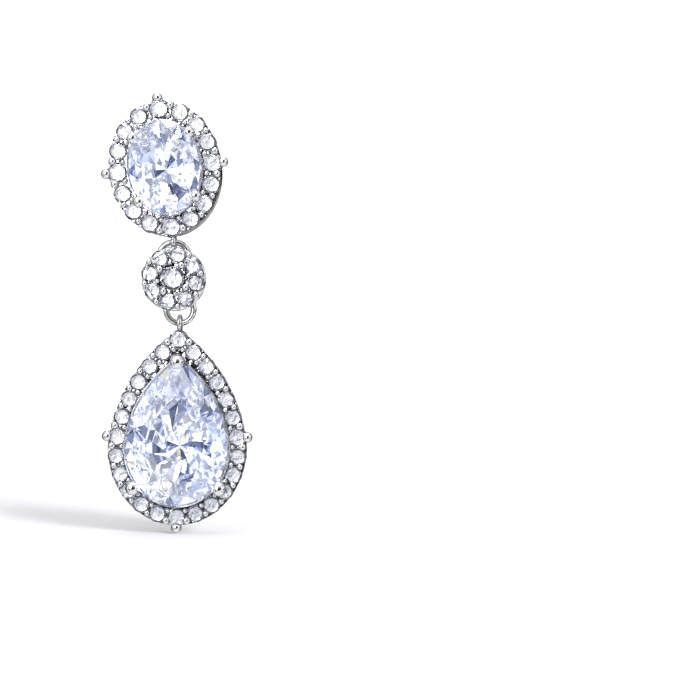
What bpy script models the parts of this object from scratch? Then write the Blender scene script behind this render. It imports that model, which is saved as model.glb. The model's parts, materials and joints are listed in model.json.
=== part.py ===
"""Teardrop drop earring for a pierced ear, hanging from its post.

From the top down: an oval halo stud with its ear post, a jump ring, a round flower cluster,
a second jump ring, and a pear halo drop. X is to the right as seen from the front, Y points
away from the viewer and towards the ear, and Z is up. The origin is the foot of the post.

Each cluster is drawn in its own face frame: u to the right, v up, and w out of the face,
with w = 0 on the metal that the small stones are set in.
"""

import math

import bmesh
import bpy
from mathutils import Matrix, Vector

MM = 0.001

# Main stones
OVAL_WIDTH = 7.0 * MM
OVAL_LENGTH = 9.0 * MM
OVAL_CROWN = 1.15 * MM
OVAL_PAVILION = 3.0 * MM
PEAR_WIDTH = 9.9 * MM
PEAR_LOW = 5.6 * MM  # below its widest level
PEAR_HIGH = 8.4 * MM  # above its widest level
PEAR_BOW = 1.1 * MM  # how far each upper side curves out of a straight line
PEAR_CROWN = 1.6 * MM
PEAR_PAVILION = 4.3 * MM
MAIN_GIRDLE = 0.25 * MM
MAIN_LIFT = 0.2 * MM  # from the metal up to the lower edge of the girdle

# Small round stones
OVAL_SMALL = 1.55 * MM
OVAL_ACCENT = 1.75 * MM
PEAR_SMALL = 1.45 * MM
PEAR_ACCENT = 1.6 * MM
HEART = 2.0 * MM
PETAL = 1.45 * MM
PETALS = 8
HEART_GAP = 0.485 * MM
PAVE_GAP = 0.2 * MM  # least metal between neighbours
SMALL_LIFT = 0.1 * MM
SMALL_GIRDLE = 0.08 * MM
SMALL_CROWN_SHARE = 0.17  # of the diameter
SMALL_PAVILION_SHARE = 0.42
SMALL_TABLE_SHARE = 0.58
STONE_CLEARANCE = 0.05 * MM  # between a loose stone and its seat

# Halos: how far the middle line of the small stones runs from the main stone
OVAL_RIM_SIDE = 0.25 * MM
OVAL_RIM_END = 0.35 * MM
PEAR_RIM_SIDE = 0.12 * MM
PEAR_RIM_LOW = 0.32 * MM
PEAR_RIM_TIP = 1.05 * MM
PEAR_HALO_BOW = 1.25 * MM
PEAR_SIDE_RISE = 1.0 * MM  # of the side accents, above the widest level

# Metal
PLATE = 1.0 * MM
BEARING = 0.35 * MM  # the plate reaches this far under a main stone
CUP_WALL = 0.1 * MM  # round each small stone
CUP_DEPTH = 0.85 * MM
CUP_RISE = 0.04 * MM
WALL_OUT = 0.5 * MM  # from the halo's middle line to the side wall, at the front
OVAL_WALL_BACK = 0.68 * MM
PEAR_WALL_BACK = 0.42 * MM
WALL_THICK = 0.5 * MM
OVAL_DEPTH = 3.2 * MM
PEAR_DEPTH = 2.6 * MM
BACK_STEP = 0.05 * MM
EDGE_BREAK = 0.1 * MM
BASKET_WIRE = 0.7 * MM
OVAL_BASKET_IN = 0.5 * MM
PEAR_BASKET_SHARE = 0.45
PEAR_BASKET_DEPTH = 3.3 * MM
PLATE_BITE = 0.35 * MM  # how deep wires run into the plate

# Prongs and beads
SMALL_BEAD = 0.58 * MM
ACCENT_SIDE_BEAD = 0.74 * MM
INNER_BEAD = 0.48 * MM
BEAD_SHARE = 0.3  # of the stones' diameter, out from the line between two stones
EDGE_BEAD = 1.0 * MM
EDGE_BEAD_OUT = 0.15 * MM
OVAL_CLAW = 1.0 * MM
OVAL_CLAW_TURN = 41.5
OVAL_CLAW_OUT = 0.05 * MM
PEAR_CLAW = 1.35 * MM
PEAR_CLAW_TURN = 40.5
PEAR_CLAW_OUT = 0.35 * MM
CLAW_WIRE_SHARE = 0.62
CLAW_RISE_SHARE = 0.62  # of the ball's width, from the plate up to its middle

# Flower
FLOWER_DEPTH = 1.3 * MM
FLOWER_PLATE_OUT = 0.5 * MM
FLOWER_BAND_OUT = 0.92 * MM
FLOWER_WAIST_OUT = 0.34 * MM
FLOWER_CUP_DEPTH = 0.5 * MM
FLOWER_BEAD = 0.55 * MM
HEART_BEAD = 0.62 * MM
FLOWER_ROLL = 10.0

# Chain
RING_WIRE = 0.6 * MM
UPPER_RING_RADIUS = 1.375 * MM
LOWER_RING_RADIUS = 1.3 * MM
EYE_WIRE = 0.45 * MM
EYE_PLAY = 0.1 * MM
EYE_SINK = 0.2 * MM
STEM_WIRE = 0.75 * MM
CHAIN_BACK = 1.3 * MM  # from the stud's face to the jump rings
DROP_BACK = 1.3 * MM  # from the drop's face to the jump rings
FLOWER_SIDE = 0.12 * MM
FLOWER_EYE_RISE = 0.82 * MM
FLOWER_EYE_DROP = 1.56 * MM
LOWER_EYE_SIDE = 0.45 * MM

# Ear post
POST_LENGTH = 10.5 * MM
POST_FOOT = 1.3 * MM
POST_TIP = 0.83 * MM
POST_NOTCH_FROM_TIP = 1.7 * MM
POST_NOTCH = 0.12 * MM
POST_PAD = 2.4 * MM
POST_PAD_DEPTH = 0.55 * MM
POST_BRACE = 0.5 * MM
POST_RISE = 4.2 * MM  # above the oval's middle

# How the pieces hang
STUD_ROLL = 6.0
DROP_ROLL = -0.6

# Roundness
OVAL_STEPS = 40
OVAL_STONE_STEPS = 24
PEAR_SIDE_STEPS = 9
PEAR_LOW_STEPS = 20
PEAR_STONE_SIDE_STEPS = 7
PEAR_STONE_LOW_STEPS = 14
CUP_SIDES = 10
BEAD_SIDES = 6
BALL_SIDES = 10
EDGE_BEAD_SIDES = 8
FLOWER_SIDES = 28
WIRE_SIDES = 6
EYE_STEPS = 10
RING_STEPS = 24
FACETS = 8
SHARP_ANGLE = 40.0
FLAT_ANGLE = 2.0
MERGE = 0.0005 * MM

METAL_COLOR = (0.83, 0.83, 0.85, 1.0)
STONE_COLOR = (0.90, 0.92, 0.97, 1.0)

# Sizes that follow from the ones above
EYE_OUTER = RING_WIRE / 2 + EYE_PLAY + EYE_WIRE
EYE_RADIUS = EYE_OUTER - EYE_WIRE / 2
OVAL_HALO_U = OVAL_WIDTH / 2 + OVAL_RIM_SIDE + OVAL_SMALL / 2
OVAL_HALO_V = OVAL_LENGTH / 2 + OVAL_RIM_END + OVAL_SMALL / 2
PEAR_HALO_U = PEAR_WIDTH / 2 + PEAR_RIM_SIDE + PEAR_SMALL / 2
PEAR_HALO_LOW = PEAR_LOW + PEAR_RIM_LOW + PEAR_SMALL / 2
PEAR_HALO_HIGH = PEAR_HIGH + PEAR_RIM_TIP + PEAR_SMALL / 2
PETAL_BY_HEART = HEART / 2 + HEART_GAP + PETAL / 2
PETAL_BY_SIDES = (PETAL + PAVE_GAP) / (2 * math.sin(math.pi / PETALS))
PETAL_RADIUS = max(PETAL_BY_HEART, PETAL_BY_SIDES)
STUD_EYE_DROP = OVAL_HALO_V + OVAL_WALL_BACK + EYE_OUTER - EYE_SINK
DROP_EYE_RISE = PEAR_HALO_HIGH + PEAR_ACCENT / 2 + CUP_WALL + EYE_OUTER - EYE_SINK

PLACES = {}


def material(name, color, metallic, roughness, transmission=0.0):
    made = bpy.data.materials.new(name)
    made.use_nodes = True
    shader = made.node_tree.nodes["Principled BSDF"]
    shader.inputs["Base Color"].default_value = color
    shader.inputs["Metallic"].default_value = metallic
    shader.inputs["Roughness"].default_value = roughness
    shader.inputs["Transmission Weight"].default_value = transmission
    made.diffuse_color = color
    return made


# Frames and objects

def face_point(u, v, w):
    """A point of a cluster's face frame, in the object's own axes."""
    return Vector((u, -w, v))


def put(obj, place, parent=None):
    """Stands the object at a place given in the world, under its parent."""
    PLACES[obj.name] = place
    if parent:
        obj.parent = parent
        place = PLACES[parent.name].inverted() @ place
    obj.location = place.to_translation()
    obj.rotation_euler = place.to_euler()
    return obj


def pivot(name, point, parent=None):
    """An empty on a joint axis, which the pieces that move with it hang from."""
    empty = bpy.data.objects.new(name, None)
    bpy.context.scene.collection.objects.link(empty)
    empty.empty_display_size = 2 * MM
    return put(empty, Matrix.Translation(point), parent)


def solid(name, shape, look):
    """An object out of one closed shape, a pair of points and faces, with its faces outward."""
    points, faces = shape
    mesh = bpy.data.meshes.new(name)
    mesh.from_pydata(points, [], faces)
    work = bmesh.new()
    work.from_mesh(mesh)
    bmesh.ops.recalc_face_normals(work, faces=work.faces)
    work.to_mesh(mesh)
    work.free()
    mesh.materials.append(look)
    obj = bpy.data.objects.new(name, mesh)
    bpy.context.scene.collection.objects.link(obj)
    return obj


def tidy(mesh):
    """Merges the flat faces that a Boolean split."""
    work = bmesh.new()
    work.from_mesh(mesh)
    bmesh.ops.remove_doubles(work, verts=work.verts, dist=MERGE)
    bmesh.ops.dissolve_degenerate(work, edges=work.edges, dist=MERGE)
    bmesh.ops.dissolve_limit(
        work, angle_limit=math.radians(FLAT_ANGLE), verts=work.verts, edges=work.edges
    )
    bmesh.ops.triangulate(work, faces=work.faces)
    work.to_mesh(mesh)
    work.free()


def fused(name, shapes, cutters, look):
    """One object out of shapes that overlap, less the cutters."""
    base = solid(name, shapes[0], look)
    helpers = []
    for kind, parts in (("UNION", shapes[1:]), ("DIFFERENCE", cutters)):
        group = bpy.data.collections.new(f"{name}_{kind.lower()}")
        bpy.context.scene.collection.children.link(group)
        for i, part in enumerate(parts):
            helper = solid(f"{name}_{kind.lower()}_{i}", part, look)
            helper.hide_render = True
            helper.display_type = "WIRE"
            bpy.context.scene.collection.objects.unlink(helper)
            group.objects.link(helper)
            helpers.append(helper)
        boolean = base.modifiers.new(kind.lower(), "BOOLEAN")
        boolean.operation = kind
        boolean.operand_type = "COLLECTION"
        boolean.collection = group
        boolean.solver = "EXACT"
    bpy.context.view_layer.update()
    evaluated = base.evaluated_get(bpy.context.evaluated_depsgraph_get())
    joined = bpy.data.meshes.new_from_object(evaluated)
    base.modifiers.clear()
    base.data = joined
    for helper in helpers:
        bpy.data.objects.remove(helper, do_unlink=True)
    tidy(joined)
    for poly in joined.polygons:
        poly.use_smooth = True
    joined.set_sharp_from_angle(angle=math.radians(SHARP_ANGLE))
    return base


# Outlines in the face, as lists of (u, v) that run anticlockwise

def circle_outline(radius, steps, centre=(0.0, 0.0), start=0.0):
    turns = [start + 2 * math.pi * i / steps for i in range(steps)]
    return [(centre[0] + radius * math.cos(t), centre[1] + radius * math.sin(t)) for t in turns]


def oval_outline(half_width, half_length, steps):
    turns = [2 * math.pi * i / steps for i in range(steps)]
    return [(half_width * math.cos(t), half_length * math.sin(t)) for t in turns]


def pear_outline(half, low, high, bow, side_steps, low_steps):
    """A pear from its tip: half an ellipse below its widest level, and a bowed side each way above."""
    length = math.hypot(half, high)
    radius = (length**2 / 4 + bow**2) / (2 * bow)
    spread = math.asin(length / 2 / radius)
    facing = math.atan2(half, high)
    centre_u = half / 2 + high / length * (bow - radius)
    centre_v = high / 2 + half / length * (bow - radius)
    right = []
    for i in range(side_steps + 1):
        turn = facing - spread + 2 * spread * i / side_steps
        right.append((centre_u + radius * math.cos(turn), centre_v + radius * math.sin(turn)))
    left = [(-u, v) for u, v in reversed(right[1:])]
    left[0] = (0.0, high)
    turns = [math.pi + math.pi * i / low_steps for i in range(low_steps + 1)]
    bottom = [(half * math.cos(t), low * math.sin(t)) for t in turns]
    return left + bottom + right[1:-1]


def offset_outline(outline, distance):
    """The outline moved outward by a distance, with its corners kept."""
    moved = []
    for i, point in enumerate(outline):
        here = Vector(point)
        first = (here - Vector(outline[i - 1])).normalized()
        second = (Vector(outline[(i + 1) % len(outline)]) - here).normalized()
        normal = Vector((first.y + second.y, -first.x - second.x)).normalized()
        stretch = 1 / max(normal.dot(Vector((first.y, -first.x))), 0.5)
        moved.append(tuple(here + normal * distance * stretch))
    return moved


def scaled_outline(outline, share, centre=(0.0, 0.0)):
    return [(centre[0] + (u - centre[0]) * share, centre[1] + (v - centre[1]) * share) for u, v in outline]


def walk(path, distance):
    """The point at a distance along an open path."""
    for start, end in zip(path, path[1:]):
        step = Vector(end) - Vector(start)
        if distance <= step.length:
            return Vector(start) + step.normalized() * distance
        distance -= step.length
    return Vector(path[-1])


def path_length(path):
    return sum((Vector(b) - Vector(a)).length for a, b in zip(path, path[1:]))


# Shapes as (points, faces), in the object's own axes

def side_faces(low, high):
    """The faces between two rings of points, either of which may be a single point."""
    count = max(len(low), len(high))
    faces = []
    for i in range(count):
        j = (i + 1) % count
        corners = [low[i % len(low)], low[j % len(low)], high[j % len(high)], high[i % len(high)]]
        faces.append(tuple(dict.fromkeys(corners)))
    return faces


def stacked(outlines, heights):
    """A shape through outlines, each at its height w. An outline of one point is a tip."""
    points, rings, faces = [], [], []
    for outline, height in zip(outlines, heights):
        rings.append(range(len(points), len(points) + len(outline)))
        points += [face_point(u, v, height) for u, v in outline]
    for low, high in zip(rings, rings[1:]):
        faces += side_faces(low, high)
    faces += [tuple(end) for end in (rings[0], rings[-1]) if len(end) > 1]
    return points, faces


def hoop(outlines, heights):
    """A closed band, whose section has a corner on each outline, taken in order."""
    points, rings, faces = [], [], []
    for outline, height in zip(outlines, heights):
        rings.append(range(len(points), len(points) + len(outline)))
        points += [face_point(u, v, height) for u, v in outline]
    for here, after in zip(rings, rings[1:] + rings[:1]):
        faces += side_faces(here, after)
    return points, faces


def turned(profile, sides, foot, axis):
    """A turned shape out of (radius, height) pairs, along an axis from its foot."""
    turn = Vector((0, 0, 1)).rotation_difference(axis.normalized())
    points, rings, faces = [], [], []
    for radius, height in profile:
        count = sides if radius > 0 else 1
        rings.append(range(len(points), len(points) + count))
        for i in range(count):
            angle = 2 * math.pi * (i + 0.5) / sides
            around = Vector((radius * math.cos(angle), radius * math.sin(angle), height))
            points.append(foot + turn @ around)
    for low, high in zip(rings, rings[1:]):
        faces += side_faces(low, high)
    faces += [tuple(end) for end in (rings[0], rings[-1]) if len(end) > 1]
    return points, faces


def rod(start, end, diameter, sides=WIRE_SIDES):
    axis = end - start
    return turned([(diameter / 2, 0.0), (diameter / 2, axis.length)], sides, start, axis)


def ball(u, v, w, diameter, sides=BALL_SIDES):
    rows = sides // 2
    radius = diameter / 2
    turns = [math.pi * i / rows for i in range(1, rows)]
    profile = [(0.0, -radius)]
    profile += [(radius * math.sin(t), -radius * math.cos(t)) for t in turns]
    profile.append((0.0, radius))
    return turned(profile, sides, face_point(u, v, w), face_point(0, 0, 1))


def wire_ring(centre, radius, wire, axis, steps):
    """A round ring of wire about an axis."""
    turn = Vector((0, 0, 1)).rotation_difference(axis)
    points, rings, faces = [], [], []
    for i in range(steps):
        around = 2 * math.pi * (i + 0.5) / steps
        out = Vector((math.cos(around), math.sin(around), 0))
        rings.append(range(len(points), len(points) + WIRE_SIDES))
        for j in range(WIRE_SIDES):
            bend = 2 * math.pi * (j + 0.5) / WIRE_SIDES
            place = out * (radius + wire / 2 * math.cos(bend)) + Vector((0, 0, wire / 2 * math.sin(bend)))
            points.append(centre + turn @ place)
    for here, after in zip(rings, rings[1:] + rings[:1]):
        faces += side_faces(here, after)
    return points, faces


# Stones

def cut_stone(outline, centre, base, girdle, crown, pavilion, rows, grow=0.0):
    """A faceted stone with its table at the top and a point below.

    rows lists the rings above the girdle as (share of the outline, share of the crown), and
    the last is the table. grow makes the same stone larger all round.
    """
    edge = offset_outline(outline, grow)
    outlines = [[tuple(centre)], edge, edge]
    heights = [base - pavilion - 1.4 * grow, base - grow, base + girdle + grow]
    for share, rise in rows:
        outlines.append(offset_outline(scaled_outline(outline, share, centre), grow))
        heights.append(base + girdle + crown * rise + grow)
    return stacked(outlines, heights)


def round_stone(centre, diameter, turn, grow=0.0):
    outline = circle_outline(diameter / 2, FACETS, centre, turn)
    crown = SMALL_CROWN_SHARE * diameter
    pavilion = SMALL_PAVILION_SHARE * diameter
    rows = [(SMALL_TABLE_SHARE, 1.0)]
    return cut_stone(outline, centre, SMALL_LIFT, SMALL_GIRDLE, crown, pavilion, rows, grow)


def fused_stone(centre, diameter, turn):
    """A small stone that is one with the metal round it: only what stands out is cut."""
    outline = circle_outline(diameter / 2, FACETS, centre, turn)
    table = scaled_outline(outline, SMALL_TABLE_SHARE, centre)
    top = SMALL_LIFT + SMALL_GIRDLE
    heights = [-CUP_DEPTH / 2, top, top + SMALL_CROWN_SHARE * diameter]
    return stacked([outline, outline, table], heights)


MAIN_ROWS = [(0.8, 0.62), (0.54, 1.0)]


def oval_stone_shape(grow=0.0):
    outline = oval_outline(OVAL_WIDTH / 2, OVAL_LENGTH / 2, OVAL_STONE_STEPS)
    return cut_stone(outline, (0.0, 0.0), MAIN_LIFT, MAIN_GIRDLE, OVAL_CROWN, OVAL_PAVILION, MAIN_ROWS, grow)


def pear_stone_shape(grow=0.0):
    steps = (PEAR_STONE_SIDE_STEPS, PEAR_STONE_LOW_STEPS)
    outline = pear_outline(PEAR_WIDTH / 2, PEAR_LOW, PEAR_HIGH, PEAR_BOW, *steps)
    return cut_stone(outline, (0.0, 0.0), MAIN_LIFT, MAIN_GIRDLE, PEAR_CROWN, PEAR_PAVILION, MAIN_ROWS, grow)


# Settings

def bead(spot, diameter, sides=BEAD_SIDES):
    """The rounded head of a small prong, on its own stub in the metal."""
    radius = diameter / 2
    profile = [(radius, -radius), (0.95 * radius, 0.3 * radius), (0.5 * radius, radius)]
    return turned(profile, sides, face_point(spot[0], spot[1], 0.0), face_point(0, 0, 1))


def cup(centre, diameter, turn, depth=CUP_DEPTH):
    """The metal round a small stone, with a flat side towards each neighbour."""
    outline = circle_outline(diameter / 2 + CUP_WALL, CUP_SIDES, centre, turn)
    return stacked([outline, outline], [-depth, CUP_RISE])


def halo_band(inner, line, wall_back, depth):
    """The face plate of a halo with its side wall: an L in section, open at the back."""
    front = offset_outline(line, WALL_OUT)
    back = offset_outline(line, wall_back)
    outlines = [
        inner,
        offset_outline(front, -EDGE_BREAK),
        front,
        back,
        offset_outline(back, -WALL_THICK),
        offset_outline(front, -WALL_THICK),
        inner,
    ]
    heights = [0.0, 0.0, -EDGE_BREAK, -depth, -depth, -PLATE, -PLATE]
    return hoop(outlines, heights)


def basket_ring(outline, depth):
    """The wire ring at the back of a basket. Its back is at the depth."""
    half = BASKET_WIRE / 2
    outlines, heights = [], []
    for i in range(WIRE_SIDES):
        turn = 2 * math.pi * i / WIRE_SIDES
        outlines.append(offset_outline(outline, half * math.cos(turn)))
        heights.append(half - depth + half * math.sin(turn) / math.sin(math.pi / 3))
    return hoop(outlines, heights)


def strut(low, depth, edge):
    """A wire from the basket ring up into the plate."""
    start = face_point(low.x, low.y, BASKET_WIRE / 2 - depth)
    return rod(start, face_point(edge.x, edge.y, PLATE_BITE - PLATE), BASKET_WIRE)


def claw(edge, out, diameter):
    """A stub from the plate up past the girdle, and the ball on its end."""
    rise = CLAW_RISE_SHARE * diameter
    side = edge + out * (1 - CLAW_WIRE_SHARE) * diameter / 2 * 0.8
    low = face_point(side.x, side.y, -PLATE_BITE)
    stub = rod(low, face_point(side.x, side.y, rise), CLAW_WIRE_SHARE * diameter)
    return [stub, ball(edge.x, edge.y, rise, diameter)]


def halo_places(path, corners, accent, small):
    """The stones round a halo, as (point, diameter, whether it is an accent)."""
    whole = path_length(path)
    places = []
    for here, after in zip(corners, corners[1:] + [corners[0] + whole]):
        places.append((walk(path, here), accent, True))
        free = after - here - accent
        count = int((free - PAVE_GAP) / (small + PAVE_GAP))
        gap = (free - count * small) / (count + 1)
        for i in range(count):
            along = here + accent / 2 + gap + small / 2 + i * (small + gap)
            places.append((walk(path, along % whole), small, False))
    return places


def halo_shapes(places, middle):
    """The metal and the fused stones of a halo, and where its loose accent stones go."""
    shapes, accents = [], []
    for i, (point, diameter, accent) in enumerate(places):
        out = point - middle
        facing = math.atan2(out.y, out.x)
        turn = facing + math.pi / FACETS
        shapes.append(cup(point, diameter, facing))
        if accent:
            accents.append((point, turn))
        else:
            shapes.append(fused_stone(point, diameter, turn))
        after, after_size, after_accent = places[(i + 1) % len(places)]
        along = (after - point).normalized()
        side = Vector((along.y, -along.x)) * BEAD_SHARE * (diameter + after_size) / 2
        between = (point + after) / 2
        outer = ACCENT_SIDE_BEAD if accent or after_accent else SMALL_BEAD
        shapes.append(bead(between + side, outer))
        shapes.append(bead(between - side, INNER_BEAD, BEAD_SIDES - 1))
    return shapes, accents


def edge_bead(point, out, diameter):
    spot = point + out * (diameter / 2 + EDGE_BEAD_OUT)
    return ball(spot.x, spot.y, 0.0, EDGE_BEAD, EDGE_BEAD_SIDES)


def eye(centre, axis):
    """A soldered eye, with room for a jump ring's wire to turn in it."""
    return wire_ring(centre, EYE_RADIUS, EYE_WIRE, axis, EYE_STEPS)


# Oval stud

def post_shapes():
    """The post, the pad that it is soldered to, and the brace from the pad to the wall."""
    foot = face_point(0.0, POST_RISE, -OVAL_DEPTH)
    back = face_point(0, 0, -1)
    pad = rod(foot - back * POST_PAD_DEPTH, foot, POST_PAD, 2 * FACETS)
    notch = POST_LENGTH - POST_NOTCH_FROM_TIP
    slope = (POST_TIP - POST_FOOT) / POST_LENGTH / 2
    edge = POST_FOOT / 2 + slope * notch
    tip = POST_TIP / 2
    profile = [
        (POST_FOOT / 2, -POST_PAD_DEPTH / 2),
        (edge, notch - 2 * POST_NOTCH),
        (edge - POST_NOTCH, notch - POST_NOTCH),
        (edge - POST_NOTCH, notch + POST_NOTCH),
        (edge, notch + 2 * POST_NOTCH),
        (tip, POST_LENGTH - tip),
        (0.7 * tip, POST_LENGTH - 0.3 * tip),
        (0.0, POST_LENGTH),
    ]
    level = -OVAL_DEPTH + POST_PAD_DEPTH / 2
    wall = OVAL_HALO_V + OVAL_WALL_BACK - WALL_THICK / 2
    brace = rod(face_point(0.0, POST_RISE, level), face_point(0.0, wall, level), POST_BRACE)
    return [pad, turned(profile, BALL_SIDES, foot, back), brace]


def build_stud(metal, crystal):
    place = Matrix.Rotation(math.radians(-STUD_ROLL), 4, "Y")
    place = place @ Matrix.Translation(-face_point(0.0, POST_RISE, -OVAL_DEPTH))
    frame = pivot("stud_frame", Vector((0, 0, 0)))

    stone_edge = oval_outline(OVAL_WIDTH / 2, OVAL_LENGTH / 2, OVAL_STEPS)
    line = oval_outline(OVAL_HALO_U, OVAL_HALO_V, OVAL_STEPS)
    back = OVAL_DEPTH - BACK_STEP
    shapes = [halo_band(offset_outline(stone_edge, -BEARING), line, OVAL_WALL_BACK, back)]
    path = oval_outline(OVAL_HALO_U, OVAL_HALO_V, 5 * OVAL_STEPS)
    path.append(path[0])
    quarter = path_length(path) / 4
    corners = [0.0, quarter, 2 * quarter, 3 * quarter]
    places = halo_places(path, corners, OVAL_ACCENT, OVAL_SMALL)
    halo, accents = halo_shapes(places, Vector((0, 0)))
    shapes += halo
    shapes += [edge_bead(point, point.normalized(), OVAL_ACCENT) for point, _ in accents[:3]]

    basket_back = back - BACK_STEP
    basket = offset_outline(stone_edge, -OVAL_BASKET_IN)
    shapes.append(basket_ring(basket, basket_back))
    turn = math.radians(OVAL_CLAW_TURN)
    for side in (1, -1):
        for end in (1, -1):
            spot = Vector((side * math.cos(turn) * OVAL_WIDTH / 2, end * math.sin(turn) * OVAL_LENGTH / 2))
            out = Vector((spot.x / OVAL_WIDTH**2, spot.y / OVAL_LENGTH**2)).normalized()
            shapes += claw(spot + out * OVAL_CLAW_OUT, out, OVAL_CLAW)
            shapes.append(strut(spot - out * OVAL_BASKET_IN, basket_back, spot + out * EYE_PLAY))
    shapes += post_shapes()

    hang = face_point(0.0, -STUD_EYE_DROP, -CHAIN_BACK)
    across = place.to_3x3().inverted() @ Vector((1, 0, 0))
    shapes.append(eye(hang, across))
    stem = face_point(0.0, -STUD_EYE_DROP + EYE_RADIUS, -CHAIN_BACK)
    shapes.append(rod(stem, face_point(0.0, -OVAL_HALO_V, -CHAIN_BACK), STEM_WIRE))

    seats = [oval_stone_shape(STONE_CLEARANCE)]
    seats += [round_stone(point, OVAL_ACCENT, turn, STONE_CLEARANCE) for point, turn in accents]
    put(fused("oval_setting", shapes, seats, metal), place, frame)
    put(solid("oval_stone", oval_stone_shape(), crystal), place, frame)
    for side, (point, turn) in zip(("right", "top", "left", "bottom"), accents):
        stone = solid(f"oval_accent_{side}", round_stone(point, OVAL_ACCENT, turn), crystal)
        put(stone, place, frame)
    return frame, place @ hang


# Chain: the jump rings and what hangs from them

def jump_ring(name, centre, radius, metal, parent):
    shape = wire_ring(Vector((0, 0, 0)), radius, RING_WIRE, Vector((0, 1, 0)), RING_STEPS)
    ring = solid(name, shape, metal)
    for poly in ring.data.polygons:
        poly.use_smooth = True
    put(ring, Matrix.Translation(centre), parent)


def flower_bead(angle, radius, diameter):
    return bead((radius * math.cos(angle), radius * math.sin(angle)), diameter)


def build_flower(place, eyes, parent, metal, crystal):
    plate = PETAL_RADIUS + FLOWER_PLATE_OUT
    band = PETAL_RADIUS + FLOWER_BAND_OUT
    waist = PETAL_RADIUS + FLOWER_WAIST_OUT
    profile = [
        (band - EDGE_BREAK, -FLOWER_DEPTH),
        (band, EDGE_BREAK - FLOWER_DEPTH),
        (band, -0.7 * FLOWER_DEPTH),
        (waist, -0.64 * FLOWER_DEPTH),
        (waist, -0.44 * FLOWER_DEPTH),
        (plate, -0.36 * FLOWER_DEPTH),
        (plate, 0.0),
    ]
    out = face_point(0, 0, 1)
    shapes = [turned(profile, FLOWER_SIDES, Vector((0, 0, 0)), out)]
    petals = []
    for i in range(PETALS):
        gap = 2 * math.pi * i / PETALS
        facing = gap + math.pi / PETALS
        spot = Vector((math.cos(facing), math.sin(facing))) * PETAL_RADIUS
        petals.append((spot, facing + math.pi / FACETS))
        shapes.append(cup(spot, PETAL, facing, FLOWER_CUP_DEPTH))
        shapes.append(flower_bead(gap, plate - 0.05 * FLOWER_BEAD, FLOWER_BEAD))
        if i % 2:
            shapes.append(flower_bead(gap, HEART / 2 + HEART_GAP, HEART_BEAD))
    into_plate = FLOWER_DEPTH / 8
    for centre in eyes:
        local = place.inverted() @ centre
        shapes.append(eye(local, place.to_3x3().inverted() @ Vector((1, 0, 0))))
        start = local - Vector((0, RING_WIRE / 2 + EYE_PLAY + EYE_WIRE / 3, 0))
        shapes.append(rod(start, Vector((local.x, FLOWER_DEPTH - into_plate, local.z)), STEM_WIRE))
    heart_turn = math.pi / FACETS
    seats = [round_stone((0.0, 0.0), HEART, heart_turn, STONE_CLEARANCE)]
    seats += [round_stone(spot, PETAL, turn, STONE_CLEARANCE) for spot, turn in petals]
    put(fused("flower_setting", shapes, seats, metal), place, parent)
    heart = solid("flower_centre_stone", round_stone((0.0, 0.0), HEART, heart_turn), crystal)
    put(heart, place, parent)
    for i, (spot, turn) in enumerate(petals):
        stone = solid(f"flower_stone_{i + 1}", round_stone(spot, PETAL, turn), crystal)
        put(stone, place, parent)


def build_drop(place, hang, parent, metal, crystal):
    half = PEAR_WIDTH / 2
    steps = (PEAR_SIDE_STEPS, PEAR_LOW_STEPS)
    stone_edge = pear_outline(half, PEAR_LOW, PEAR_HIGH, PEAR_BOW, *steps)
    halo_sizes = (PEAR_HALO_U, PEAR_HALO_LOW, PEAR_HALO_HIGH, PEAR_HALO_BOW)
    line = pear_outline(*halo_sizes, *steps)
    shapes = [halo_band(offset_outline(stone_edge, -BEARING), line, PEAR_WALL_BACK, PEAR_DEPTH)]

    path = pear_outline(*halo_sizes, 5 * PEAR_SIDE_STEPS, 5 * PEAR_LOW_STEPS)
    path.append(path[0])
    whole = path_length(path)
    side = path_length([point for point in path[: 5 * PEAR_SIDE_STEPS] if point[1] >= PEAR_SIDE_RISE])
    places = halo_places(path, [0.0, side, whole / 2, whole - side], PEAR_ACCENT, PEAR_SMALL)
    halo, accents = halo_shapes(places, Vector((0, 0)))
    shapes += halo
    for (point, _), out in zip(accents[1:], (Vector((-1, 0)), Vector((0, -1)), Vector((1, 0)))):
        shapes.append(edge_bead(point, out, PEAR_ACCENT))

    shapes.append(basket_ring(scaled_outline(stone_edge, PEAR_BASKET_SHARE), PEAR_BASKET_DEPTH))
    turn = math.radians(PEAR_CLAW_TURN)
    tip = Vector((0.0, PEAR_HIGH - BEARING))
    spots = [(tip, Vector((0, 1)))]
    for way in (1, -1):
        spot = Vector((way * half * math.cos(turn), -PEAR_LOW * math.sin(turn)))
        out = Vector((spot.x / half**2, spot.y / PEAR_LOW**2)).normalized()
        spots.append((spot + out * PEAR_CLAW_OUT, out))
    for spot, out in spots:
        shapes += claw(spot, out, PEAR_CLAW)
        shapes.append(strut(spot * PEAR_BASKET_SHARE, PEAR_BASKET_DEPTH, spot))
    for way in (1, -1):
        spot = Vector(stone_edge[PEAR_SIDE_STEPS * 2 // 3]) * 1.02
        spot.x *= way
        shapes.append(strut(spot * PEAR_BASKET_SHARE, PEAR_BASKET_DEPTH, spot))

    local = place.inverted() @ hang
    shapes.append(eye(local, place.to_3x3().inverted() @ Vector((1, 0, 0))))
    stem = local - Vector((0, 0, EYE_RADIUS))
    shapes.append(rod(stem, Vector((0.0, DROP_BACK, PEAR_HALO_HIGH)), STEM_WIRE))

    seats = [pear_stone_shape(STONE_CLEARANCE)]
    seats += [round_stone(point, PEAR_ACCENT, turn, STONE_CLEARANCE) for point, turn in accents]
    put(fused("pear_setting", shapes, seats, metal), place, parent)
    put(solid("pear_stone", pear_stone_shape(), crystal), place, parent)
    for name, (point, turn) in zip(("top", "left", "bottom", "right"), accents):
        stone = solid(f"pear_accent_{name}", round_stone(point, PEAR_ACCENT, turn), crystal)
        put(stone, place, parent)


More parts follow.
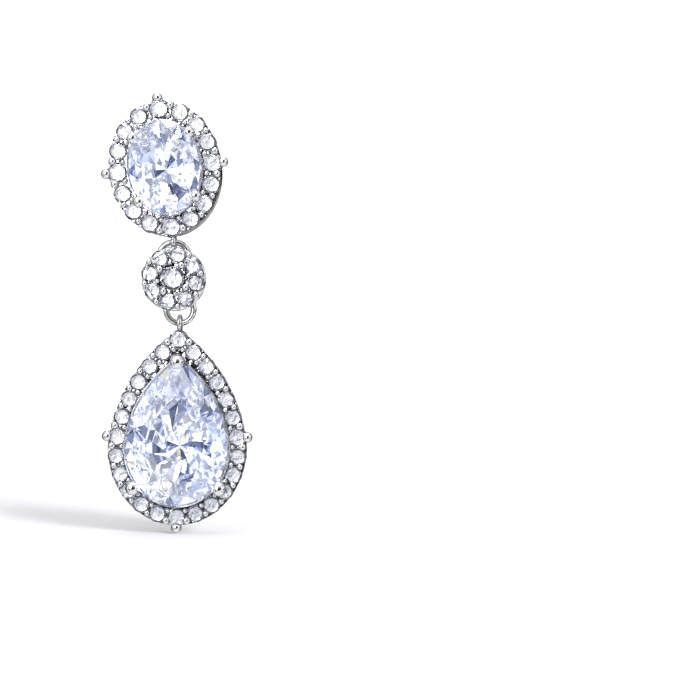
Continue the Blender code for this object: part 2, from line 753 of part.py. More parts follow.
def build():
    for obj in list(bpy.data.objects):
        bpy.data.objects.remove(obj, do_unlink=True)
    metal = material("rhodium_metal", METAL_COLOR, 1.0, 0.08)
    crystal = material("clear_crystal", STONE_COLOR, 0.0, 0.02, 0.6)

    frame, upper_eye = build_stud(metal, crystal)
    upper_pivot = pivot("upper_ring_pivot", upper_eye, frame)
    upper_centre = upper_eye - Vector((0, 0, UPPER_RING_RADIUS))
    jump_ring("upper_jump_ring", upper_centre, UPPER_RING_RADIUS, metal, upper_pivot)

    flower_pivot = pivot("flower_pivot", upper_centre, upper_pivot)
    flower_eye = upper_centre - Vector((0, 0, UPPER_RING_RADIUS))
    middle = flower_eye + Vector((FLOWER_SIDE, -EYE_OUTER - FLOWER_DEPTH, -FLOWER_EYE_RISE))
    flower_place = Matrix.Translation(middle) @ Matrix.Rotation(math.radians(-FLOWER_ROLL), 4, "Y")
    lower_eye = Vector((middle.x + LOWER_EYE_SIDE, flower_eye.y, middle.z - FLOWER_EYE_DROP))
    build_flower(flower_place, [flower_eye, lower_eye], flower_pivot, metal, crystal)

    lower_pivot = pivot("lower_ring_pivot", lower_eye, flower_pivot)
    lower_centre = lower_eye - Vector((0, 0, LOWER_RING_RADIUS))
    jump_ring("lower_jump_ring", lower_centre, LOWER_RING_RADIUS, metal, lower_pivot)

    drop_pivot = pivot("drop_pivot", lower_centre, lower_pivot)
    drop_eye = lower_centre - Vector((0, 0, LOWER_RING_RADIUS))
    drop_place = (
        Matrix.Translation(drop_eye)
        @ Matrix.Rotation(math.radians(-DROP_ROLL), 4, "Y")
        @ Matrix.Translation(-face_point(0.0, DROP_EYE_RISE, -DROP_BACK))
    )
    build_drop(drop_place, drop_eye, drop_pivot, metal, crystal)


build()
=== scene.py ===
# %% [markdown]
# # A teardrop drop earring
#
# The earring hangs from its post: an oval halo stud on top, a jump ring, a round cluster of
# stones, a second jump ring, and a pear halo drop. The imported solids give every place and
# size. This file dresses them in bright rhodium and cut stones, one short step at a time.

import json
import math
import random

import bmesh
import bpy
import numpy as np
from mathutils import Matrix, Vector

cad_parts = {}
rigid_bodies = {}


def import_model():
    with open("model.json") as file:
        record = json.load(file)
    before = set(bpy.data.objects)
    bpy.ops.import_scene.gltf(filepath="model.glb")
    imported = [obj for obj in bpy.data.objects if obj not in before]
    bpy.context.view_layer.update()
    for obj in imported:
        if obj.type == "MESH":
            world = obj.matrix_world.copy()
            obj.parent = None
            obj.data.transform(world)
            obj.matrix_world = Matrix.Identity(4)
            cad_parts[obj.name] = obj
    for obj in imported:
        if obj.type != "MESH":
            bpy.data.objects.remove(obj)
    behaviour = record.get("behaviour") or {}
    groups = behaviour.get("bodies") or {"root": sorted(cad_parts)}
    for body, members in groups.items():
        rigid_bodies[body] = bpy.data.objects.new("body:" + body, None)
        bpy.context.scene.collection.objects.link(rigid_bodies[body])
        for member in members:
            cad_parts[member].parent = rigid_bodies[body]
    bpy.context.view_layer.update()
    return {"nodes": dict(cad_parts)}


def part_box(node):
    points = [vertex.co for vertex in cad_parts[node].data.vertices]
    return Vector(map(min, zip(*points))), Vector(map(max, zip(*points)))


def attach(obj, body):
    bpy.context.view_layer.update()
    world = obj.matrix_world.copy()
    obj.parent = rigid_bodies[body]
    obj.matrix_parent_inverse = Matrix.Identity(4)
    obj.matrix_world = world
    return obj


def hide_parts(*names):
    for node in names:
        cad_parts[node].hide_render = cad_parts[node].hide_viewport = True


for leftover in list(bpy.data.objects):
    bpy.data.objects.remove(leftover, do_unlink=True)
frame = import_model()
print("nodes", len(frame["nodes"]))

# %% [markdown]
# ## Sizes
#
# A jeweller thinks in millimetres, so the numbers here are millimetres, and one factor turns
# them into Blender's metres. Each cluster has a face frame: u to the right, v up, and w out
# of the face, with w = 0 on the metal that the small stones sit in. A cluster is its middle
# on that face and its roll, in degrees anticlockwise as seen from the front. An oval is its
# half width and half height. A pear is its half width, its depth below the widest place, its
# height above it, and how far each long side bows out.

# %% Clusters and stones
MM = 0.001
STUD = {"middle": (0.439, -3.2, -4.177), "roll": 6.0}
FLOWER = {"middle": (1.286, -4.05, -14.664), "roll": 10.0}
DROP = {"middle": (1.6132, -3.2, -30.5482), "roll": -0.6}

# The chain hangs in one plane. An eye is the place where a link's wire crosses it.
CHAIN_Y = -1.9
UPPER_EYE = (1.166, CHAIN_Y, -11.094)
LOWER_EYE = (1.736, CHAIN_Y, -16.224)
UPPER_RADIUS = 1.375
LOWER_RADIUS = 1.3
RING_WIRE = 0.6
EYE_WIRE = 0.45
EYE_RADIUS = 0.625

# The two main stones, and the lines that the halo stones sit on.
OVAL = {"half": 3.5, "end": 4.5, "crown": 1.15, "pavilion": 3.0}
PEAR = {"half": 4.95, "low": 5.6, "high": 8.4, "bow": 1.1, "crown": 1.6, "pavilion": 4.3}
OVAL_LINE = (4.525, 5.625)
PEAR_LINE = (5.795, 6.645, 10.175, 1.25)
MAIN_LIFT, MAIN_GIRDLE = 0.2, 0.25

# Widths of the small stones.
OVAL_SMALL, OVAL_ACCENT = 1.55, 1.75
PEAR_SMALL, PEAR_ACCENT = 1.45, 1.6
HEART, PETAL, PETAL_RADIUS = 2.0, 1.45, 2.21


def face_point(u, v, w):
    """A point of a face frame, before the cluster is turned and put in place."""
    return Vector((u, -w, v))


def in_cluster(cluster, u, v, w):
    """A point of a cluster's face frame, in the earring's own frame."""
    roll = math.radians(cluster["roll"])
    x, y, z = cluster["middle"]
    across = u * math.cos(roll) - v * math.sin(roll)
    up = u * math.sin(roll) + v * math.cos(roll)
    return Vector((x + across, y - w, z + up))


for node in ("oval_stone", "pear_stone"):
    low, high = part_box(node)
    print(node, "centre, mm", [round(c, 2) for c in (low + high) / 2 / MM])

# %% [markdown]
# ## Metal
#
# Rhodium is a hard white plating, almost a mirror. A metal surface shows what stands round
# it, so the finish itself is simple: full metal, a pale cool grey, and a low roughness with a
# faint cloudiness from polishing. The contrast comes from the studio further down. A finish
# is a tree of nodes, and one helper adds a node and feeds its inputs.


# %% Nodes
def feed(node, inputs):
    """Gives each input its value, or joins it to the output that feeds it."""
    for name, value in inputs.items():
        if isinstance(value, bpy.types.NodeSocket):
            node.id_data.links.new(value, node.inputs[name])
        else:
            node.inputs[name].default_value = value


def add_node(tree, kind, inputs=None, **settings):
    """Adds a node with its settings and inputs. Its outputs are returned."""
    node = tree.nodes.new(kind)
    for name, value in settings.items():
        setattr(node, name, value)
    feed(node, inputs or {})
    return node.outputs


def mixed(tree, blend, first, second, share=1.0):
    """The mix of two colours."""
    inputs = {"Factor": share, "A": first, "B": second}
    outputs = add_node(tree, "ShaderNodeMix", inputs, data_type="RGBA", blend_type=blend)
    return outputs["Result"]


def new_material(name, **inputs):
    """A material, and its shader with these inputs."""
    made = bpy.data.materials.new(name)
    made.use_nodes = True
    shader = made.node_tree.nodes["Principled BSDF"]
    feed(shader, {key.replace("_", " "): value for key, value in inputs.items()})
    return made, shader


# %% Finishes of the metal
EDGE_TINT = (0.3, 0.3, 0.33, 1.0)
CLOUD_FINENESS, CLOUD_DETAIL = 900.0, 3.0
GRAIN_FINENESS, GRAIN_HEIGHT = 1500.0, 0.0002


def polished_metal(name, colour, roughness, cloud, ripple=0.0):
    """Bright metal. cloud varies its gloss, and ripple gives it the grain of a casting."""
    made, shader = new_material(
        name, Base_Color=(*colour, 1.0), Metallic=1.0, Specular_Tint=EDGE_TINT
    )
    tree = made.node_tree
    place = add_node(tree, "ShaderNodeTexCoord")["Object"]
    noise = add_node(tree, "ShaderNodeTexNoise", {
        "Vector": place, "Scale": CLOUD_FINENESS, "Detail": CLOUD_DETAIL,
    })
    spread = add_node(tree, "ShaderNodeMapRange", {
        "Value": noise["Fac"], "To Min": roughness, "To Max": roughness + cloud,
    })
    feed(shader, {"Roughness": spread["Result"]})
    if ripple:
        grain = add_node(tree, "ShaderNodeTexNoise", {"Vector": place, "Scale": GRAIN_FINENESS})
        bump = add_node(tree, "ShaderNodeBump", {
            "Height": grain["Fac"], "Strength": ripple, "Distance": GRAIN_HEIGHT,
        })
        feed(shader, {"Normal": bump["Normal"]})
    return made


RHODIUM = polished_metal("rhodium_polished", (0.86, 0.86, 0.88), 0.03, 0.07)
RHODIUM_CAST = polished_metal("rhodium_cast", (0.82, 0.82, 0.84), 0.06, 0.1, 0.5)
# A darker, rougher copy of the rhodium: painted shade for the inside of the holes behind the stones.
RHODIUM_PAINTED_SHADE = polished_metal("rhodium_painted_shade", (0.62, 0.62, 0.65), 0.16, 0.14)
print("metal finishes", RHODIUM.name, RHODIUM_CAST.name, RHODIUM_PAINTED_SHADE.name)

# %% [markdown]
# ## Stones
#
# A colourless cubic zirconia bends light so strongly that the facets of its lower half work
# as small mirrors. Tracing that through forty stones is slow and noisy. Here the upper half
# of a stone is clear and bends the view, and its lower facets are mirrors that reflect the
# studio, each tinted with a painted reflection of its own: white, lavender, blue grey, slate,
# dark, and now and then a painted spark of fire. The stone is colourless, so these colours are
# painted light and shade, kept with the mesh as a colour on each facet. The large stones also
# get a faint cool painted glow in those mirrors, for the light that goes on bouncing inside a
# real one.


# %% Finishes of the stones
# GLOW_COLOUR makes the painted glow in the large stones' mirrors cooler.
GLOW_COLOUR = (0.87, 0.895, 1.0, 1.0)
CROWN_COLOUR = (0.97, 0.975, 1.0, 1.0)
CROWN_BEND = 1.5


def facet_mirror(name, roughness, glow):
    """Mirrors tinted by the painted reflections of the facets, with a painted glow of the same colours
    made cooler.
    """
    made, shader = new_material(name, Metallic=1.0, Roughness=roughness, Emission_Strength=glow)
    tree = made.node_tree
    painted_reflection = add_node(tree, "ShaderNodeAttribute", attribute_name="painted_facet_reflection")["Color"]
    cooler = mixed(tree, "MULTIPLY", painted_reflection, GLOW_COLOUR)
    feed(shader, {"Base Color": painted_reflection, "Emission Color": cooler})
    return made


def clear_crown(name):
    """Clear, and it bends the view as a crown does."""
    return new_material(
        name, Base_Color=CROWN_COLOUR, Roughness=0.0, IOR=CROWN_BEND, Transmission_Weight=1.0
    )[0]


# The large stones' mirrors glow with painted light. The small ones' mirrors don't.
FACET_MIRROR = facet_mirror("stone_lower_facets", 0.05, 0.32)
SMALL_STONE = facet_mirror("small_stone_facets", 0.04, 0.0)
CLEAR_CROWN = clear_crown("stone_clear_crown")
# Painted reflections: each colour stands for the light or shade that a facet sends back, and the fires
# are painted dispersion.
PAINTED_REFLECTIONS = {
    "white": (0.97, 0.975, 1.0),
    "lavender": (0.84, 0.87, 0.97),
    "blue_grey": (0.60, 0.66, 0.82),
    "slate": (0.16, 0.19, 0.29),
    "gold_fire": (1.0, 0.92, 0.66),
    "red_fire": (0.78, 0.5, 0.46),
    "blue_fire": (0.25, 0.45, 0.95),
    "dark_reflection": (0.2, 0.2, 0.23),
}

# How often each painted reflection is drawn, in the order above.
OVAL_SHARES = (0.62, 0.18, 0.08, 0.12, 0.0, 0.0, 0.0, 0.0)
PEAR_SHARES = (0.54, 0.22, 0.12, 0.10, 0.008, 0.006, 0.006, 0.0)
SMALL_SHARES = (0.5, 0.06, 0.06, 0.0, 0.0, 0.0, 0.0, 0.38)
print("stone finishes", FACET_MIRROR.name, SMALL_STONE.name, CLEAR_CROWN.name)

# %% [markdown]
# ## From points to a piece
#
# Every finished piece is one plain mesh whose object stays at the origin, with its place in
# its points. That keeps it in step with the imported solids when a joint moves. These helpers
# turn lists of points and faces into such a mesh and give each facet its painted reflection.


# %% Mesh helpers
MERGE_DISTANCE = 1e-7
DIMMEST = 0.9


def paint_facet_reflections(mesh, shares, seed):
    """Gives each face one of the painted reflections, by the shares, the same way each run."""
    dice = random.Random(seed)
    layer = mesh.color_attributes.new("painted_facet_reflection", "FLOAT_COLOR", "CORNER")
    colours = list(PAINTED_REFLECTIONS.values())
    for face in mesh.polygons:
        # Each facet gets a painted reflection, made a little dimmer at random.
        painted_reflection = dice.choices(colours, shares)[0]
        light = dice.uniform(DIMMEST, 1.0)
        for corner in face.loop_indices:
            layer.data[corner].color = (*(part * light for part in painted_reflection), 1.0)


def shade_smooth(mesh, sharp):
    """Smooth shading, with the edges kept that are sharper than so many degrees."""
    for face in mesh.polygons:
        face.use_smooth = True
    mesh.set_sharp_from_angle(angle=math.radians(sharp))


def turn_outward(mesh, merge=False):
    """Points all faces outward, after merging doubled points where asked."""
    work = bmesh.new()
    work.from_mesh(mesh)
    if merge:
        bmesh.ops.remove_doubles(work, verts=work.verts, dist=MERGE_DISTANCE)
    bmesh.ops.recalc_face_normals(work, faces=work.faces)
    work.to_mesh(mesh)
    work.free()


def make_mesh(name, shapes, materials, smooth=False, sharp=40.0):
    """One mesh out of closed shapes in millimetres, with its faces outward."""
    points, faces = [], []
    for shape_points, shape_faces in shapes:
        start = len(points)
        points += [Vector(p) * MM for p in shape_points]
        faces += [tuple(i + start for i in face) for face in shape_faces]
    mesh = bpy.data.meshes.new(name)
    mesh.from_pydata(points, [], faces)
    turn_outward(mesh)
    for material in materials:
        mesh.materials.append(material)
    if smooth:
        shade_smooth(mesh, sharp)
    return mesh


def add_piece(name, mesh):
    """Puts a mesh into the scene, at the origin."""
    made = bpy.data.objects.new(name, mesh)
    bpy.context.scene.collection.objects.link(made)
    return made


def settle(piece, body, replaced=()):
    """Fastens a finished piece to its body and hides the solids that it stands for."""
    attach(piece, body)
    if replaced:
        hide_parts(*replaced)
    print(piece.name, len(piece.data.polygons), "faces on", body)


# %% [markdown]
# ## Shapes that are turned, stacked or swept
#
# Most parts of a jewel are turned (a bead, a post), stacked (a band between outlines) or
# swept (a wire). Three small functions cover them, and each closes its own ends.


# %% Shape helpers
PEAR_SAMPLES = 200
ROUND_REACH = 0.45


def side_faces(low, high):
    """Faces between two rings of point numbers. A ring of one number is a tip."""
    count = max(len(low), len(high))
    faces = []
    for i in range(count):
        j = (i + 1) % count
        corners = [low[i % len(low)], low[j % len(low)], high[j % len(high)], high[i % len(high)]]
        faces.append(tuple(dict.fromkeys(corners)))
    return faces


def join_rings(rings_of_points, closed):
    """Points and faces through rings in order. closed joins the last ring to the first."""
    points, rings, faces = [], [], []
    for ring in rings_of_points:
        rings.append(range(len(points), len(points) + len(ring)))
        points += ring
    following = rings[1:] + (rings[:1] if closed else [])
    for here, after in zip(rings, following):
        faces += side_faces(here, after)
    if not closed:
        faces += [tuple(end) for end in (rings[0], rings[-1]) if len(end) > 1]
    return points, faces


def turned(profile, sides, foot, axis, closed=False):
    """A turned shape out of (radius, height) pairs, along an axis from its foot."""
    turn = Vector((0, 0, 1)).rotation_difference(Vector(axis).normalized())
    rings = []
    for radius, height in profile:
        count = sides if radius > 0 else 1
        ring = []
        for i in range(count):
            angle = 2 * math.pi * i / sides
            around = Vector((radius * math.cos(angle), radius * math.sin(angle), height))
            ring.append(Vector(foot) + turn @ around)
        rings.append(ring)
    return join_rings(rings, closed)


def ball_profile(radius, rows=12, low=-1.0):
    """Half the outline of a ball, from its foot, or from the share low of its radius."""
    start = math.acos(-low)
    turns = [start + (math.pi - start) * i / rows for i in range(rows + 1)]
    pairs = [(radius * math.sin(t), -radius * math.cos(t)) for t in turns]
    pairs[-1] = (0.0, radius)
    if low == -1.0:
        pairs[0] = (0.0, -radius)
    return pairs


def rod(start, end, width, end_width=None, sides=16):
    """A straight wire, which may widen or narrow toward its end."""
    start, end = Vector(start), Vector(end)
    far = width if end_width is None else end_width
    length = (end - start).length
    profile = [(width / 2, 0.0), ((width + far) / 4, length / 2), (far / 2, length)]
    return turned(profile, sides, start, end - start)


def oval_outline(half, end, steps):
    """An oval from its right-hand side, anticlockwise."""
    turns = [2 * math.pi * i / steps for i in range(steps)]
    return np.array([(half * math.cos(t), end * math.sin(t)) for t in turns])


def pear_outline(half, low, high, bow, steps):
    """A pear from its tip, anticlockwise, in evenly spaced points."""
    length = math.hypot(half, high)
    radius = (length**2 / 4 + bow**2) / (2 * bow)
    spread = math.asin(length / 2 / radius)
    facing = math.atan2(half, high)
    inward = bow - radius
    centre = (half / 2 + high / length * inward, high / 2 + half / length * inward)
    turns = np.linspace(facing - spread, facing + spread, PEAR_SAMPLES)
    right = np.stack([centre[0] + radius * np.cos(turns), centre[1] + radius * np.sin(turns)], 1)
    left = right[::-1] * (-1, 1)
    turns = np.linspace(math.pi, 2 * math.pi, PEAR_SAMPLES)[1:-1]
    bottom = np.stack([half * np.cos(turns), low * np.sin(turns)], 1)
    whole = np.concatenate([left, bottom, right])
    return along(whole, np.arange(steps) / steps)


def along(path, shares):
    """Points at shares of the length of a closed path."""
    path = np.concatenate([path, path[:1]])
    run = np.concatenate([[0], np.cumsum(np.linalg.norm(np.diff(path, axis=0), axis=1))])
    spots = np.asarray(shares) % 1.0 * run[-1]
    return np.stack([np.interp(spots, run, path[:, 0]), np.interp(spots, run, path[:, 1])], 1)


def path_length(path):
    """Length of a closed path."""
    return float(np.linalg.norm(np.roll(path, -1, 0) - path, axis=1).sum())


def unit(steps):
    """The directions of steps, each one long."""
    return steps / np.linalg.norm(steps, axis=-1, keepdims=True)


def right_of(steps):
    """Steps turned a quarter to the right, which is outward from an anticlockwise outline."""
    return np.stack([steps[..., 1], -steps[..., 0]], -1)


def grown(outline, distance, most=2.0):
    """An outline moved outward. A corner moves further, by the given factor at most."""
    before = unit(outline - np.roll(outline, 1, 0))
    after = unit(np.roll(outline, -1, 0) - outline)
    normal = unit(right_of(before + after))
    stretch = 1 / np.maximum((normal * right_of(after)).sum(1), 1 / most)
    return outline + normal * distance * stretch[:, None]


def band(cluster, section):
    """A closed band whose section has a corner on each (outline, w) pair, in order."""
    rings = [[in_cluster(cluster, u, v, w) for u, v in outline] for outline, w in section]
    return join_rings(rings, True)


def rounded(corners, radius, cuts=3):
    """Rounds the corners of a closed section of (outline offset, w) pairs."""
    out = []
    for i, corner in enumerate(corners):
        here = Vector(corner)
        to_before = Vector(corners[i - 1]) - here
        to_after = Vector(corners[(i + 1) % len(corners)]) - here
        reach = min(radius, to_before.length * ROUND_REACH, to_after.length * ROUND_REACH)
        start = here + to_before.normalized() * reach
        end = here + to_after.normalized() * reach
        for k in range(cuts + 1):
            t = k / cuts
            out.append(tuple(start * (1 - t) ** 2 + here * 2 * t * (1 - t) + end * t**2))
    return out


print("oval halo line, mm", round(path_length(oval_outline(*OVAL_LINE, 400)), 2))

# %% [markdown]
# ## A brilliant cut
#
# A brilliant has a flat table, star facets round it, kites down to the girdle, and a pointed
# lower half. The same rule serves round, oval and pear stones: it takes points on the
# outline, and every second ring is turned by half a step. The oval has two rows of facets
# below and the pear three, which is what makes their middles look like crushed ice. Both are
# a hair wider than their solids, because a set stone shows no gap to its metal.


# %% The brilliant, as points and faces in its face frame
STAR_SPREAD, STAR_HEIGHT = 1.03, 0.6
BELLY = 0.92
TIGHT_FIT = 0.08


def brilliant(outline, crown, girdle, pavilion, table=0.56, base=0.0, rows_below=1):
    """Points and faces of a cut stone, and the number of its faces above.

    The outline has an even number of points, and base is the foot of the girdle.
    """
    count = len(outline)
    half = count // 2
    even, odd = outline[0::2], outline[1::2]
    top = base + girdle
    levels = [
        (even * table, top + crown),
        (odd * (table + 1) / 2.0 * STAR_SPREAD, top + crown * STAR_HEIGHT),
        (outline, top),
        (outline, base),
    ]
    points = [(u, v, w) for ring, w in levels for u, v in ring]
    t, m, g, b = 0, half, count, 2 * count
    faces = [tuple(t + i for i in range(half))]
    for i in range(half):
        j = (i + 1) % half
        left, right = 2 * i, 2 * j
        faces += [(t + i, m + i, t + j), (t + i, m + (i - 1) % half, g + left)]
        faces += [(t + i, g + left, m + i), (m + i, g + left, g + left + 1)]
        faces.append((m + i, g + left + 1, g + right))
    faces += [(g + i, b + i, b + (i + 1) % count, g + (i + 1) % count) for i in range(count)]
    above = len(faces)
    last = b
    for row in range(rows_below):
        share = 1 - (row + 1) / (rows_below + 1)
        lift = share * BELLY
        source = even if row % 2 else odd
        here = len(points)
        points += [(u * share, v * share, base - pavilion * (1 - lift)) for u, v in source]
        for i in range(half):
            j = (i + 1) % half
            if row == 0:
                left, right = last + 2 * i, last + 2 * j
                faces += [(here + i, left + 1, left), (here + i, right, left + 1)]
                faces.append((here + i, left, here + (i - 1) % half))
            else:
                faces.append((here + i, last + i, last + (i - 1) % half))
                faces.append((here + i, here + j, last + i))
        last = here
    tip = len(points)
    points.append((0.0, 0.0, base - pavilion))
    faces += [(last + i, tip, last + (i + 1) % half) for i in range(half)]
    return points, faces, above


def large_stone(name, cluster, shape, shares, seed):
    """A main stone, clear above and mirrored below."""
    points, faces, above = shape
    placed = [in_cluster(cluster, *point) for point in points]
    mesh = make_mesh(name, [(placed, faces)], [CLEAR_CROWN, FACET_MIRROR])
    for face in mesh.polygons[above:]:
        face.material_index = 1
    paint_facet_reflections(mesh, shares, seed)
    return add_piece(name, mesh)


def oval_edge(steps):
    """The outline of the oval stone."""
    return oval_outline(OVAL["half"], OVAL["end"], steps)


def pear_edge(steps):
    """The outline of the pear stone."""
    return pear_outline(PEAR["half"], PEAR["low"], PEAR["high"], PEAR["bow"], steps)


oval_shape = brilliant(
    grown(oval_edge(24), TIGHT_FIT), OVAL["crown"], MAIN_GIRDLE, OVAL["pavilion"],
    table=0.56, base=MAIN_LIFT, rows_below=2,
)
piece = large_stone("oval_brilliant", STUD, oval_shape, OVAL_SHARES, seed=11)
settle(piece, "stud", ["oval_stone"])
pear_shape = brilliant(
    grown(pear_edge(32), TIGHT_FIT), PEAR["crown"], MAIN_GIRDLE, PEAR["pavilion"],
    table=0.54, base=MAIN_LIFT, rows_below=3,
)
piece = large_stone("pear_brilliant", DROP, pear_shape, PEAR_SHARES, seed=23)
settle(piece, "drop", ["pear_stone"])

# %% [markdown]
# ## A field of repeated parts
#
# The halo stones, their cups and the beads that hold them repeat along a line. Geometry
# Nodes suit that: a handful of points carry a size and a turn, one master part is put on
# each, and the result is one mesh. Facets marked as lower ones get a finish of their own. The
# tree has named inputs, so the same tree serves every field of the earring.


# %% The tree that puts a part on each point
def new_tree(name, inputs, output):
    """An empty tree with named sockets, and what its inputs give."""
    tree = bpy.data.node_groups.new(name, "GeometryNodeTree")
    for title, kind in inputs.items():
        tree.interface.new_socket(title, in_out="INPUT", socket_type="NodeSocket" + kind)
    tree.interface.new_socket(output, in_out="OUTPUT", socket_type="NodeSocketGeometry")
    return tree, add_node(tree, "NodeGroupInput")


def finished(tree, geometry, finish, only=True):
    """The faces with a finish on them, or on some of them only."""
    inputs = {"Geometry": geometry, "Selection": only, "Material": finish}
    return add_node(tree, "GeometryNodeSetMaterial", inputs)["Geometry"]


def field_tree():
    """Puts a part on each point, by the point's size and turn, and gives it its finishes."""
    tree, given = new_tree("part_on_each_point", {
        "Points": "Geometry", "Part": "Object", "Finish": "Material", "Finish below": "Material",
    }, "Field")

    def kept(name, kind):
        """What the points or faces keep under a name."""
        named = add_node(tree, "GeometryNodeInputNamedAttribute", {"Name": name}, data_type=kind)
        return named["Attribute"]

    part = add_node(tree, "GeometryNodeObjectInfo", {"Object": given["Part"], "As Instance": True})
    place = add_node(tree, "GeometryNodeInstanceOnPoints", {
        "Points": given["Points"], "Instance": part["Geometry"],
        "Scale": kept("size", "FLOAT"), "Rotation": kept("turn", "FLOAT_VECTOR"),
    })
    real = add_node(tree, "GeometryNodeRealizeInstances", {"Geometry": place["Instances"]})
    whole = finished(tree, real["Geometry"], given["Finish"])
    below = finished(tree, whole, given["Finish below"], kept("lower_facet", "BOOLEAN"))
    add_node(tree, "NodeGroupOutput", {"Field": below})
    return tree


FIELD_TREE = field_tree()


def made_by(tree, carrier, values):
    """A plain mesh of what a tree makes of its carrier, which is then removed.

    An input is set by its socket's identifier, before the carrier is first evaluated.
    """
    modifier = carrier.modifiers.new(tree.name, "NODES")
    modifier.node_group = tree
    for item in tree.interface.items_tree:
        if item.name in values:
            modifier[item.identifier] = values[item.name]
    bpy.context.view_layer.update()
    shown = carrier.evaluated_get(bpy.context.evaluated_depsgraph_get())
    mesh = bpy.data.meshes.new_from_object(shown)
    carrier.modifiers.clear()
    bpy.data.objects.remove(carrier, do_unlink=True)
    return mesh


def field(name, cluster, spots, master, finish, below=None, smooth=True):
    """A part on each spot. A spot is (u, v, w, size, direction in the face)."""
    mesh = bpy.data.meshes.new(name + "_points")
    mesh.from_pydata([in_cluster(cluster, *spot[:3]) * MM for spot in spots], [], [])
    size = mesh.attributes.new("size", "FLOAT", "POINT")
    size.data.foreach_set("value", [spot[3] * MM for spot in spots])
    turn = mesh.attributes.new("turn", "FLOAT_VECTOR", "POINT")
    angles = [-spot[4] - math.radians(cluster["roll"]) for spot in spots]
    turn.data.foreach_set("vector", [c for a in angles for c in (0.0, a, 0.0)])
    values = {"Part": master, "Finish": finish, "Finish below": below or finish}
    made = made_by(FIELD_TREE, add_piece(name + "_points", mesh), values)
    if smooth:
        shade_smooth(made, sharp=45)
    return add_piece(name, made)


def metal_field(name, cluster, body, spots, master, finish):
    """A field of metal parts, fastened to its body."""
    settle(field(name, cluster, spots, master, finish), body)


print("inputs", [item.name for item in FIELD_TREE.interface.items_tree])

# %% [markdown]
# ## Master parts
#
# Each master is drawn one unit wide in its own face frame, and its sections are (radius,
# height) pairs. A small stone is a round brilliant. A cup is the thin collar of metal round
# it. A bead is the rounded head of a small prong. A collar behind the plate frames the hole
# that lets light in under a stone, and a disc of darker metal closes that hole as painted shade
# for its dark inside. Four stones with different painted reflections, each a little deeper
# than the last, keep the halo from looking stamped.


# %% Masters
STONE_WIDTH_SHARE = 0.545
STONE_DEPTH, DEEPER_PER_SEED = 0.38, 0.004
CUP_SECTION = [
    (0.565, -0.58), (0.565, -0.02), (0.55, 0.09), (0.525, 0.09), (0.46, -0.1), (0.3, -0.3),
    (0.3, -0.58),
]
BEAD_STEM = [(0.4, -0.7), (0.49, -0.5)]
COLLAR_SECTION = [(0.42, -0.62), (0.42, -0.74), (0.3, -0.74), (0.24, -0.62)]
HOLE_PROFILE = [(0.3, -0.66), (0.3, -0.7), (0.0, -0.7)]
OUT = face_point(0, 0, 1)
ORIGIN = Vector((0, 0, 0))


def master(name, shapes, material, smooth=True):
    """A part one unit wide, for the fields to repeat."""
    mesh = make_mesh(name, shapes, [material], smooth)
    made = add_piece(name, mesh)
    made.scale = (1 / MM, 1 / MM, 1 / MM)
    bpy.context.view_layer.update()
    mesh.transform(made.matrix_world)
    made.scale = (1, 1, 1)
    return made


def stone_master(seed):
    """A small stone that marks its lower facets."""
    points, faces, above = brilliant(
        oval_outline(STONE_WIDTH_SHARE, STONE_WIDTH_SHARE, 12),
        crown=0.17, girdle=0.03, pavilion=STONE_DEPTH + DEEPER_PER_SEED * seed,
        table=0.55, base=0.09,
    )
    placed = [face_point(*point) for point in points]
    made = master(f"small_stone_master_{seed}", [(placed, faces)], SMALL_STONE, False)
    paint_facet_reflections(made.data, SMALL_SHARES, seed)
    lower = made.data.attributes.new("lower_facet", "BOOLEAN", "FACE")
    lower.data.foreach_set("value", [i >= above for i in range(len(made.data.polygons))])
    return made


STONE_MASTERS = [stone_master(seed) for seed in (3, 8, 15, 21)]
cup = turned(rounded(CUP_SECTION, 0.015), 28, ORIGIN, OUT, closed=True)
CUP_MASTER = master("cup_master", [cup], RHODIUM)
bead = turned(BEAD_STEM + ball_profile(0.5, 8, 0.1), 16, ORIGIN, OUT)
BEAD_MASTER = master("bead_master", [bead], RHODIUM)
collar = turned(rounded(COLLAR_SECTION, 0.03), 24, ORIGIN, OUT, closed=True)
BACK_COLLAR_MASTER = master("back_collar_master", [collar], RHODIUM)
# The disc in each hole is darker metal, painted shade for the hole's dark inside.
hole = turned(HOLE_PROFILE, 24, ORIGIN, OUT)
BACK_HOLE_MASTER = master("back_hole_master", [hole], RHODIUM_PAINTED_SHADE)
METAL_MASTERS = [CUP_MASTER, BEAD_MASTER, BACK_COLLAR_MASTER, BACK_HOLE_MASTER]
print("masters", len(STONE_MASTERS) + len(METAL_MASTERS))

# %% [markdown]
# ## Where the halo stones sit
#
# A setter divides the line between two larger accent stones into equal gaps. The same rule
# gives the places here, as in the solids: four accents, and as many small stones between
# them as fit with a least gap of metal. Between each two stones an outer and an inner bead
# hold them both.


# %% Places round a halo
LEAST_GAP = 0.2
BEAD_SHARE = 0.3
OUTER_BEAD, OUTER_BEAD_BY_ACCENT, INNER_BEAD = 0.58, 0.74, 0.48
OUTER_BEAD_RISE, INNER_BEAD_RISE = 0.1, 0.08


def halo_places(line, corners, accent, small):
    """Middle, width and kind of each halo stone. corners are the accents' places on the line."""
    whole = path_length(line)
    places = []
    for here, after in zip(corners, corners[1:] + [corners[0] + whole]):
        places.append((along(line, [here / whole])[0], accent, True))
        free = after - here - accent
        count = int((free - LEAST_GAP) / (small + LEAST_GAP))
        gap = (free - count * small) / (count + 1)
        for i in range(count):
            spot = here + accent / 2 + gap + small / 2 + i * (small + gap)
            places.append((along(line, [spot / whole])[0], small, False))
    return places


